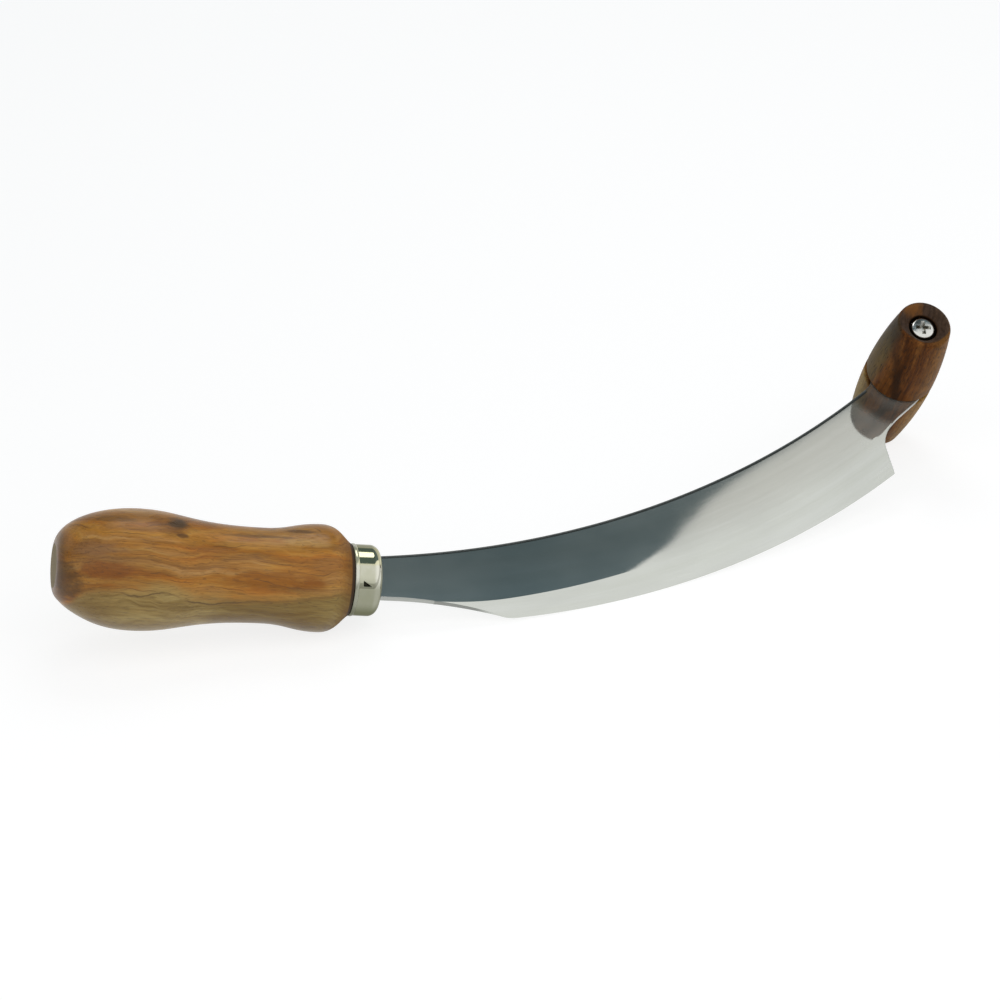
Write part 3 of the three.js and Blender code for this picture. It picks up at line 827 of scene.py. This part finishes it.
def handle_profile():
    belly = (BELLY_RADIUS, BELLY_X)
    waist = (WAIST_RADIUS, WAIST_X)
    swell = (SWELL_RADIUS, SWELL_X)
    neck = (NECK_RADIUS, HANDLE_LENGTH)
    return [
        *arc((BUTT_RADIUS, BELLY_X), (BELLY_RADIUS - BUTT_RADIUS, BELLY_X), -math.pi / 2, 0, 32),
        *swept(belly, waist, BELLY_LEVEL, WAIST_LEVEL, 32),
        *swept(waist, swell, SWELL_LEVEL, SWELL_LEVEL, 20),
        *swept(swell, neck, SHOULDER_LEVEL, NECK_LEVEL, 20, NECK_FLARE),
    ]


def main_handle():
    bm = lay_along_x(turning([
        (0, 0),
        *handle_profile(),
        (SPIGOT_RADIUS, HANDLE_LENGTH),
        (SPIGOT_RADIUS, SPIGOT_END - NOSE_CHAMFER),
        (SPIGOT_RADIUS - NOSE_CHAMFER, SPIGOT_END),
        (BORE_RADIUS, SPIGOT_END),
        (BORE_RADIUS, BORE_BOTTOM),
        (0, BORE_BOTTOM - DRILL_POINT),
    ], segments=144))
    sanded = Vector((0, math.cos(SANDED_WAY), math.sin(SANDED_WAY)))
    for vert in bm.verts:
        radial = Vector((0, vert.co.y, vert.co.z))
        if radial.length > BUTT_RADIUS / 2:
            facing = max(0, radial.normalized().dot(sanded))
            near = math.exp(-(((vert.co.x - SANDED_X) / SANDED_REACH) ** 2))
            vert.co -= sanded * SANDED_DEPTH * facing**2 * near * min(1, vert.co.x / 2)
    return bm


# Ferrule

def ferrule():
    inside = FERRULE_RADIUS - FERRULE_WALL
    floor = FERRULE_FRONT - FERRULE_WALL
    bead_middle = (FERRULE_RADIUS, FERRULE_BACK + BEAD_LENGTH / 2)
    bead = arc(bead_middle, (BEAD_HEIGHT, BEAD_LENGTH / 2), -math.pi / 2, math.pi / 2, 12)
    straight_end = FERRULE_FRONT - FERRULE_CORNER
    straight = [(FERRULE_RADIUS, x) for x in np.linspace(BEAD_END, straight_end, 40)[1:-1]]
    corner_middle = (FERRULE_RADIUS - FERRULE_CORNER, straight_end)
    corner = arc(corner_middle, FERRULE_CORNER, 0, math.pi / 2, 14)
    cup = lay_along_x(turning([
        (0, floor),
        (inside - NOSE_CHAMFER, floor),
        (inside, floor - NOSE_CHAMFER),
        (inside, FERRULE_BACK),
        *bead,
        *straight,
        *corner,
        (0, FERRULE_FRONT),
    ], segments=360))
    punch_stake_mark(cup)
    return cut_away(cup, blade_slot())


def punch_stake_mark(cup):
    """Pushes a three-cornered dent with sloping walls into the cup."""
    out = Vector((0, -math.sin(STAKE_TURN), math.cos(STAKE_TURN)))
    across = Vector((0, math.cos(STAKE_TURN), math.sin(STAKE_TURN)))
    slant = math.hypot(STAKE_LENGTH, STAKE_HEIGHT)
    dent = cup.verts.layers.float.new("dent")
    for vert in cup.verts:
        x = vert.co.x - FERRULE_BACK - STAKE_BACK
        y = vert.co.dot(across) + STAKE_HEIGHT / 2
        from_slant = STAKE_LENGTH * STAKE_HEIGHT * (1 - x / STAKE_LENGTH - y / STAKE_HEIGHT) / slant
        inside = min(x, y, from_slant)
        if inside > 0 and vert.co.dot(out) > FERRULE_RADIUS - STAKE_HEIGHT:
            vert[dent] = min(1, inside / STAKE_WALL)
            vert.co -= out * STAKE_DEPTH * vert[dent]


def blade_slot():
    top = spine_y(FERRULE_FRONT) + GAP
    bottom = RICASSO_Y - GAP
    bm = bmesh.new()
    bmesh.ops.create_cube(bm, size=1)
    size = (FERRULE_LENGTH, top - bottom, BLADE_THICKNESS + 2 * GAP)
    bmesh.ops.scale(bm, verts=bm.verts, vec=size)
    bmesh.ops.translate(bm, verts=bm.verts, vec=(FERRULE_FRONT, (top + bottom) / 2, 0))
    return bm


# Blade

def on_arc(x, centre, radius):
    return centre[1] - math.sqrt(radius**2 - (x - centre[0]) ** 2)


def spine_y(x):
    return on_arc(x, SPINE_CENTRE, SPINE_RADIUS)


def edge_y(x):
    return on_arc(x, EDGE_CENTRE, EDGE_RADIUS)


def angle_about(centre, x, y):
    return math.atan2(y - centre[1], x - centre[0])


def edge_angle(x):
    return angle_about(EDGE_CENTRE, x, edge_y(x))


HEEL_ANGLE = edge_angle(HEEL_X)
TIP_ANGLE = edge_angle(TIP_X)
PAST_TIP_ANGLE = edge_angle(TIP_X + GRIND_PAST_TIP)
HEEL_WAY = np.array((math.cos(HEEL_ANGLE), math.sin(HEEL_ANGLE)))
HEEL_ACROSS = np.array((-HEEL_WAY[1], HEEL_WAY[0]))


def grind_width(angle):
    share = (angle - HEEL_ANGLE) / (PAST_TIP_ANGLE - HEEL_ANGLE)
    return GRIND_AT_HEEL + share * (GRIND_AT_TIP - GRIND_AT_HEEL)


def from_edge_centre(angle, radius):
    return (EDGE_CENTRE[0] + radius * math.cos(angle), EDGE_CENTRE[1] + radius * math.sin(angle))


def heel_curve():
    """The lower outline from the ricasso's end to the heel."""
    heel = (HEEL_X, edge_y(HEEL_X))
    first = bezier([(RICASSO_END_X, RICASSO_Y), HEEL_BEND, HEEL_CURVE_END], 60)
    return first + bezier([HEEL_CURVE_END, HEEL_CORNER, heel], 20)


def notch_curve():
    """The outline from the tip up the tip's end and round the notch."""
    tip = (TIP_X, edge_y(TIP_X))
    end = bezier([tip, TIP_FACE_TOP], 10)
    return [tip] + end + bezier([TIP_FACE_TOP, NOTCH_BEND, NOTCH_END], 40)


def grind_stations():
    """The ramp's start on the grind line, end on the outline and share of its full width."""
    heel = np.array((HEEL_X, edge_y(HEEL_X)))
    plunge_end = heel - GRIND_AT_HEEL * HEEL_WAY
    plunge = np.array([PLUNGE_START] + bezier([PLUNGE_START, PLUNGE_BEND, plunge_end], 60))
    lower = np.array(heel_curve())
    stations = []
    for spot in plunge[:-1]:
        outline = np.interp(spot @ HEEL_ACROSS, lower @ HEEL_ACROSS, lower @ HEEL_WAY)
        reach = outline - spot @ HEEL_WAY
        if reach > 0:
            stations.append((tuple(spot), tuple(spot + reach * HEEL_WAY), reach / GRIND_AT_HEEL))
    tip = np.array(notch_curve()) - EDGE_CENTRE
    tip_angles = np.arctan2(tip[:, 1], tip[:, 0])
    tip_radii = np.hypot(tip[:, 0], tip[:, 1])
    for angle in np.linspace(HEEL_ANGLE, PAST_TIP_ANGLE, 240):
        line = EDGE_RADIUS - grind_width(angle)
        end = np.interp(angle, tip_angles, tip_radii) if angle > TIP_ANGLE else EDGE_RADIUS
        if end > line:
            share = (end - line) / grind_width(angle)
            stations.append((from_edge_centre(angle, line), from_edge_centre(angle, end), share))
    return stations


def blade_outline(stations):
    """The outline as (x, y, half thickness, rounding, raw steel and painted shade), the ground part
    first.
    """
    half = BLADE_THICKNESS / 2
    ramp = half - EDGE_THICKNESS / 2
    rim = []
    for _, end, share in stations:
        left = half - ramp * share
        raw_shade = np.interp(end[0], HEEL_FADE, (HEEL_RAW_SHADE, 0))
        if angle_about(EDGE_CENTRE, *end) > TIP_ANGLE:
            raw_shade = NOTCH_RAW_SHADE
        rim.append((*end, left, min(RIM_ROUND, left / 2), raw_shade))
    last_angle = angle_about(EDGE_CENTRE, *stations[-1][1])
    first_across = np.array(stations[0][1]) @ HEEL_ACROSS
    eye_right = GRIP_AXIS[0] + EYE_RADIUS
    run = (eye_right - NOTCH_END[0]) / TAB_SLOPE[0]
    bend = (eye_right, NOTCH_END[1] + run * TAB_SLOPE[1])
    middle = ((NOTCH_END[0] + bend[0]) / 2, (NOTCH_END[1] + bend[1]) / 2)
    spine_end = (SPINE_END_X, spine_y(SPINE_END_X))
    eye = arc(GRIP_AXIS, EYE_RADIUS, 0, EYE_END_ANGLE, 40)
    rest = [p for p in notch_curve() if angle_about(EDGE_CENTRE, *p) > last_angle]
    rest += bezier([NOTCH_END, middle], 12) + bezier([middle, bend, eye[0]], 16)
    raw_shades = np.linspace(NOTCH_RAW_SHADE, EYE_RAW_SHADE, len(rest))
    rim += [(*p, half, RIM_ROUND, raw_shade) for p, raw_shade in zip(rest, raw_shades)]
    fillet = bezier([eye[-1], (EYE_FILLET_X, spine_y(EYE_FILLET_X)), spine_end], 16)
    rim += [(*p, half, RIM_ROUND, SPINE_RAW_SHADE) for p in eye[1:] + fillet]
    spine = arc(
        SPINE_CENTRE, SPINE_RADIUS, angle_about(SPINE_CENTRE, *spine_end),
        angle_about(SPINE_CENTRE, SHOULDER_X, spine_y(SHOULDER_X)), 200,
    )
    rim += [(*p, half, SPINE_ROUND, SPINE_RAW_SHADE) for p in spine[1:]]
    tang = [
        (SHOULDER_X, TANG_HALF_WIDTH), (TANG_END_X, TANG_TIP_HALF_WIDTH),
        (TANG_END_X, -TANG_TIP_HALF_WIDTH), (SHOULDER_X, -TANG_HALF_WIDTH), (SHOULDER_X, RICASSO_Y),
    ]
    ricasso = bezier([(SHOULDER_X, RICASSO_Y), (RICASSO_END_X, RICASSO_Y)], 20)
    heel = [p for p in heel_curve() if np.array(p) @ HEEL_ACROSS < first_across]
    ground_start = stations[0][1][0]
    for x, y in tang + ricasso + heel:
        rounding = np.interp(x, (RICASSO_END_X, ground_start), (RICASSO_ROUND, RIM_ROUND))
        rim.append((x, y, half, rounding, RICASSO_RAW_SHADE))
    return rim


def unit(ways):
    return ways / np.linalg.norm(ways, axis=1)[:, None]


def inward(rim):
    """The way into the sheet at each point of the outline."""
    places = np.array([p[:2] for p in rim])
    before = places - np.roll(places, 1, axis=0)
    after = np.roll(places, -1, axis=0) - places
    way = unit(unit(before) + unit(after))
    return np.stack([-way[:, 1], way[:, 0]], axis=1)


def blade():
    stations = grind_stations()
    rim = blade_outline(stations)
    ways = inward(rim)
    ground = len(stations)
    hole = arc(GRIP_AXIS, SLEEVE_RADIUS + GAP, 0, 2 * math.pi, 48)[:-1]
    bm = bmesh.new()
    raw_shade_layer = bm.faces.layers.float.new("raw_shade")

    def ring(inset, drop, side):
        made = []
        for (x, y, half, rounding, _), way in zip(rim, ways):
            fall = min(rounding, half / 2, ROUND_FALL)
            made.append(bm.verts.new((
                x + way[0] * rounding * inset,
                y + way[1] * rounding * inset,
                side * (half - fall * drop),
            )))
        return made

    def finish_walls(faces):
        for face, (*_, raw_shade) in zip(faces, rim):
            face[raw_shade_layer] = raw_shade

    turns = np.linspace(0, math.pi / 2, 5)
    walls = []
    for side in (1, -1):
        rounds = [ring(1 - math.sin(a), 1 - math.cos(a), side) for a in turns]
        for upper, lower in zip(rounds, rounds[1:]):
            finish_walls(bridge(bm, lower, upper, side < 0))
        face_ring = rounds[0]
        walls.append(rounds[-1])
        line = [bm.verts.new((*start, side * BLADE_THICKNESS / 2)) for start, _, _ in stations]
        bridge(bm, face_ring[:ground], line, side < 0, closed=False)
        eye = [bm.verts.new((*p, side * BLADE_THICKNESS / 2)) for p in hole]
        walls.append(eye)
        loop = [face_ring[0]] + line + face_ring[ground - 1:]
        flat = loop + eye
        for corners in tessellate_polygon([[v.co for v in loop], [v.co for v in eye]]):
            face = bm.faces.new([flat[i] for i in corners])
            if face.normal.z * side < 0:
                face.normal_flip()
    finish_walls(bridge(bm, walls[2], walls[0]))
    bridge(bm, walls[1], walls[3])
    for edge in bm.edges:
        if len(edge.link_faces) == 2 and edge.calc_face_angle() > BLADE_CREASE:
            edge.smooth = False
    lay_tangents(bm)
    return bm


def lay_tangents(bm):
    """A map whose first direction follows the cutting edge, for the brushing."""
    layer = bm.loops.layers.uv.new("along")
    for face in bm.faces:
        for corner in face.loops:
            x, y, _ = corner.vert.co
            radius = math.hypot(x - EDGE_CENTRE[0], y - EDGE_CENTRE[1])
            corner[layer].uv = (angle_about(EDGE_CENTRE, x, y), radius / EDGE_RADIUS)


# Cross grip

def barrel_radius(along):
    return GRIP_RADIUS - (GRIP_RADIUS - GRIP_END_RADIUS) * (along / GRIP_HALF_LENGTH) ** 2


def barrel(floor, side):
    bore = SLEEVE_RADIUS + GAP
    lean = math.atan(2 * (GRIP_RADIUS - GRIP_END_RADIUS) / GRIP_HALF_LENGTH)
    round_start = GRIP_HALF_LENGTH - GRIP_EDGE_ROUND * (1 - math.sin(lean))
    flank = [(barrel_radius(z), z) for z in np.linspace(GRIP_BASE + GAP, round_start, 40)]
    middle = (flank[-1][0] - GRIP_EDGE_ROUND * math.cos(lean), GRIP_HALF_LENGTH - GRIP_EDGE_ROUND)
    rim = arc(middle, GRIP_EDGE_ROUND, lean, math.pi / 2, 12)
    slope = math.atan2(GRIP_HALF_LENGTH - COUNTERBORE_MOUTH, middle[0] - COUNTERBORE_RADIUS)
    lip = (middle[0], GRIP_HALF_LENGTH - HOLLOW_ROUND)
    rim += arc(lip, HOLLOW_ROUND, math.pi / 2, math.pi / 2 + slope, 8)[1:]
    mouth = arc(
        (COUNTERBORE_RADIUS + COUNTERBORE_ROUND, COUNTERBORE_MOUTH - COUNTERBORE_ROUND),
        COUNTERBORE_ROUND, math.pi / 2 + slope, math.pi, 6,
    )
    bm = turning([
        (bore, GRIP_BASE),
        (barrel_radius(GRIP_BASE) - GAP, GRIP_BASE),
        *flank,
        *rim[1:],
        *mouth,
        (COUNTERBORE_RADIUS, floor),
        (bore, floor),
    ], segments=128, closed=True)
    if side < 0:
        bmesh.ops.rotate(bm, verts=bm.verts, matrix=Matrix.Rotation(math.pi, 3, "X"))
    return bm


def grip_screw():
    tip = HEAD_SEAT - SCREW_LENGTH
    crown = HEAD_SEAT + HEAD_HEIGHT
    side_top = HEAD_SEAT + HEAD_SIDE * HEAD_HEIGHT
    dome = bezier([
        (HEAD_RADIUS, side_top),
        (HEAD_RADIUS, HEAD_SEAT + DOME_RISE * HEAD_HEIGHT),
        (DOME_REACH * HEAD_RADIUS, crown),
        (0, crown),
    ], 24)
    steps = int(THREAD_LENGTH / THREAD_PITCH * THREAD_STEPS)
    threaded = np.linspace(tip + THREAD_DEPTH, tip + THREAD_LENGTH, steps)
    bm = turning([
        (0, tip),
        (SCREW_RADIUS - THREAD_DEPTH, tip),
        *[(SCREW_RADIUS, z) for z in threaded],
        (SCREW_RADIUS, HEAD_SEAT),
        (HEAD_RADIUS - HEAD_EASE, HEAD_SEAT),
        (HEAD_RADIUS, HEAD_SEAT + HEAD_EASE),
        (HEAD_RADIUS, side_top),
        *dome,
    ], segments=64)
    thread_end = tip + THREAD_LENGTH - THREAD_PITCH
    for vert in bm.verts:
        on_shank = vert.co.xy.length > SCREW_RADIUS - 0.01
        if on_shank and tip < vert.co.z < thread_end:
            phase = vert.co.z / THREAD_PITCH - math.atan2(vert.co.y, vert.co.x) / (2 * math.pi)
            depth = THREAD_DEPTH * abs(2 * (phase % 1) - 1)
            vert.co.xy *= 1 - depth / SCREW_RADIUS
    return cut_away(bm, cross_recess(crown))


def cross_recess(crown):
    """A tapered cross, from above the head down to the bottom of its recess."""
    bm = bmesh.new()
    rings = []
    for depth, size in ((-RECESS_DEPTH, 1 + RECESS_TAPER), (RECESS_DEPTH, RECESS_TAPER)):
        arm = RECESS_SPAN / 2 * size
        half = RECESS_WIDTH / 2 * (size + 1) / 2
        corners = []
        for quarter in range(4):
            turn = Matrix.Rotation(quarter * math.pi / 2, 2)
            corners += [turn @ Vector(p) for p in ((arm, -half), (arm, half), (half, half))]
        rings.append([bm.verts.new((*p, crown - depth)) for p in corners])
    bridge(bm, *rings)
    bm.faces.new(rings[0])
    bm.faces.new(rings[1])
    bmesh.ops.recalc_face_normals(bm, faces=bm.faces)
    return bm


def grip_washer():
    low = WASHER_TOP - WASHER_THICKNESS
    inner = SCREW_RADIUS + GAP
    outer = WASHER_RADIUS - WASHER_EASE
    return turning([
        (inner, low), (outer, low), (WASHER_RADIUS, low + WASHER_EASE),
        (WASHER_RADIUS, WASHER_TOP - WASHER_EASE), (outer, WASHER_TOP), (inner, WASHER_TOP),
    ], segments=72, closed=True)


def grip_nut():
    """A hexagon nut with its corners turned off at both ends."""
    low = NUT_TOP - NUT_HEIGHT
    bore = SCREW_RADIUS + NUT_PLAY
    mouth = bore + NUT_BORE_EASE
    flat_radius = NUT_FACE_SHARE * NUT_ACROSS_FLATS / 2
    outer = flat_radius + 1
    bm = turning([
        (bore, low + NUT_BORE_EASE), (mouth, low), (flat_radius, low), (outer, low),
        (outer, NUT_TOP), (flat_radius, NUT_TOP), (mouth, NUT_TOP), (bore, NUT_TOP - NUT_BORE_EASE),
    ], segments=96, closed=True)
    for vert in bm.verts:
        if vert.co.xy.length > (flat_radius + outer) / 2:
            angle = math.atan2(vert.co.y, vert.co.x)
            from_flat = (angle + math.pi / 6) % (math.pi / 3) - math.pi / 6
            reach = NUT_ACROSS_FLATS / 2 / math.cos(from_flat)
            vert.co.xy *= reach / vert.co.xy.length
            turned_off = (reach - flat_radius) * math.tan(NUT_CORNER_SLOPE)
            vert.co.z += turned_off if vert.co.z < NUT_TOP - NUT_HEIGHT / 2 else -turned_off
    return bm


# The object

def dress():
    zinc = zinc_plate("fastener_zinc")
    piece("handle_turning", main_handle(), KNIFE, handle_wood(), "main_handle")
    piece("ferrule_cup", ferrule(), KNIFE, ferrule_nickel(), "ferrule", sharp=28)
    piece("blade_sheet", blade(), KNIFE, blade_steel(), "blade", sharp=None)
    right_wood = grip_wood("grip_wood_right", streak_and_shade_share=0.9)
    # Painted light: the left barrel's walnut has its colours scaled up to show lighter
    left_wood = grip_wood(
        "grip_wood_left", streak_and_shade_share=0.4, light=(1.6, 1.95, 2.3), grey_light=(2.35, 2.5, 2.55)
    )
    piece(
        "right_barrel_turning", barrel(RIGHT_FLOOR, 1), CROSS_GRIP, right_wood,
        "right_grip", "right_barrel",
    )
    piece(
        "left_barrel_turning", barrel(LEFT_FLOOR, -1), CROSS_GRIP, left_wood,
        "left_grip", "left_barrel",
    )
    for name, bm, node in [
        ("screw_pan_head", grip_screw(), "grip_screw"),
        ("washer_plain", grip_washer(), "grip_washer"),
        ("nut_hexagon", grip_nut(), "grip_nut"),
    ]:
        piece(name, bm, CROSS_GRIP, zinc, node, sharp=25)
    for node, material in [
        ("tang_bedding", bedding_resin()),
        ("grip_sleeve", zinc_plate("sleeve_zinc", on_cad_node=True)),
    ]:
        cad = frame["nodes"][node]
        cad.data.materials.clear()
        cad.data.materials.append(material)


# Stage: floor, soft box, lamp, world and camera

SOFTBOX_HEIGHT = 0.5
SOFTBOX_REACH = 1.6
SOFTBOX_FRONT_EDGE = -0.10
SOFTBOX_LEVEL = 0.95
# Where the soft box's edge shows on the polished blade, from the grind line to the spine
MIRRORED_EDGE = [
    (189, 10.1), (200.4, 18.8), (205.4, 25.7), (209.6, 29.8), (212.3, 33.6), (217, 37.7),
    (221.5, 41.7), (226.7, 45.8), (231.5, 49.3),
]
LAMP_PLACE = Vector((0.06, 0.36, 0.62))
LAMP_SIZE = (0.40, 0.46)
LAMP_LEVEL = 2.3
ZENITH = (0.110, 0.154, 0.176)
HORIZON = (0.60, 0.60, 0.58)
HORIZON_TOP = 0.28
ZENITH_START = 0.42
FLOOR_REACH = 4
FLOOR_COLOUR = (0.80, 0.80, 0.79, 1)
FLOOR_SEEN_COLOUR = (0.30, 0.30, 0.30, 1)
FLOOR_GLOW = 0.80


def stage_object(name, corners, material):
    mesh = bpy.data.meshes.new(name)
    mesh.from_pydata(corners, [], [range(len(corners))])
    mesh.materials.append(material)
    made = placed(name, mesh)
    return made


def floor():
    """A pale floor that shows white, with the object's shadow."""
    paint = Paint("floor")
    path = paint.node("ShaderNodeLightPath", {}).outputs
    seen = paint.math("MAXIMUM", path["Is Camera Ray"], path["Is Glossy Ray"])
    seen = paint.math("MAXIMUM", seen, path["Is Transmission Ray"])
    plain = paint.add("ShaderNodeBsdfDiffuse", {"Color": FLOOR_COLOUR})
    half = paint.add("ShaderNodeBsdfDiffuse", {"Color": FLOOR_SEEN_COLOUR})
    glow = paint.add("ShaderNodeEmission", {"Strength": FLOOR_GLOW})
    bright = paint.add("ShaderNodeAddShader", {0: half, 1: glow})
    paint.output(paint.add("ShaderNodeMixShader", {0: seen, 1: plain, 2: bright}))
    square = [(-1, -1), (1, -1), (1, 1), (-1, 1)]
    corners = [(x * FLOOR_REACH, y * FLOOR_REACH, 0) for x, y in square]
    stage_object("floor", corners, paint.owner)


def mirrored(x, y):
    """Where the camera's ray that this spot of the blade mirrors meets the soft box's height."""
    spot = KNIFE @ (Vector((x, y, BLADE_THICKNESS / 2)) * MM)
    normal = KNIFE.to_3x3().col[2]
    ray = (spot - CAMERA_PLACE).normalized().reflect(normal)
    return spot + ray * ((SOFTBOX_HEIGHT - spot.z) / ray.z)


def softbox():
    """A soft box over the front and the right, whose edge the blade mirrors."""
    paint = Paint("softbox")
    paint.output(paint.add("ShaderNodeEmission", {"Strength": SOFTBOX_LEVEL}))
    edge = [mirrored(*p) for p in MIRRORED_EDGE]
    run = edge[-1] - edge[-2]
    start = edge[0] - edge[1]
    start = edge[0] + start * ((SOFTBOX_FRONT_EDGE - edge[0].y) / start.y)
    back = edge[-1] + run * ((SOFTBOX_REACH - edge[-1].x) / run.x)
    reach, height = SOFTBOX_REACH, SOFTBOX_HEIGHT
    corners = [
        (-reach, -reach, height), (reach, -reach, height), back, *reversed(edge), start,
        (-reach, SOFTBOX_FRONT_EDGE, height),
    ]
    box = stage_object("softbox", corners, paint.owner)
    box.visible_camera = False
    box.visible_shadow = False


def lamp():
    """An elliptical lamp, whose power follows from its size and level."""
    light = bpy.data.lights.new("lamp", "AREA")
    light.shape = "ELLIPSE"
    light.size, light.size_y = LAMP_SIZE
    light.energy = math.pi * LAMP_LEVEL * math.pi / 4 * LAMP_SIZE[0] * LAMP_SIZE[1]
    placed("lamp", light).location = LAMP_PLACE


def world():
    paint = Paint("studio", bpy.data.worlds)
    way = paint.node("ShaderNodeTexCoord", {}).outputs["Generated"]
    sky = paint.ramp(paint.split(way)["Z"], [(HORIZON_TOP, HORIZON), (ZENITH_START, ZENITH)])
    background = paint.add("ShaderNodeBackground", {"Color": sky})
    paint.node("ShaderNodeOutputWorld", {"Surface": background})
    bpy.context.scene.world = paint.owner


def camera():
    data = bpy.data.cameras.new("camera")
    data.lens = CAMERA_LENS
    data.sensor_width = 36
    data.clip_end = 20
    made = placed("camera", data)
    made.location = CAMERA_PLACE
    made.rotation_mode = "QUATERNION"
    aim = (CAMERA_AIM - CAMERA_PLACE).to_track_quat("-Z", "Y")
    made.rotation_quaternion = aim @ Quaternion((0, 0, 1), CAMERA_ROLL)
    bpy.context.scene.camera = made


dress()
floor()
softbox()
lamp()
world()
camera()
bpy.context.scene.view_settings.view_transform = "Standard"
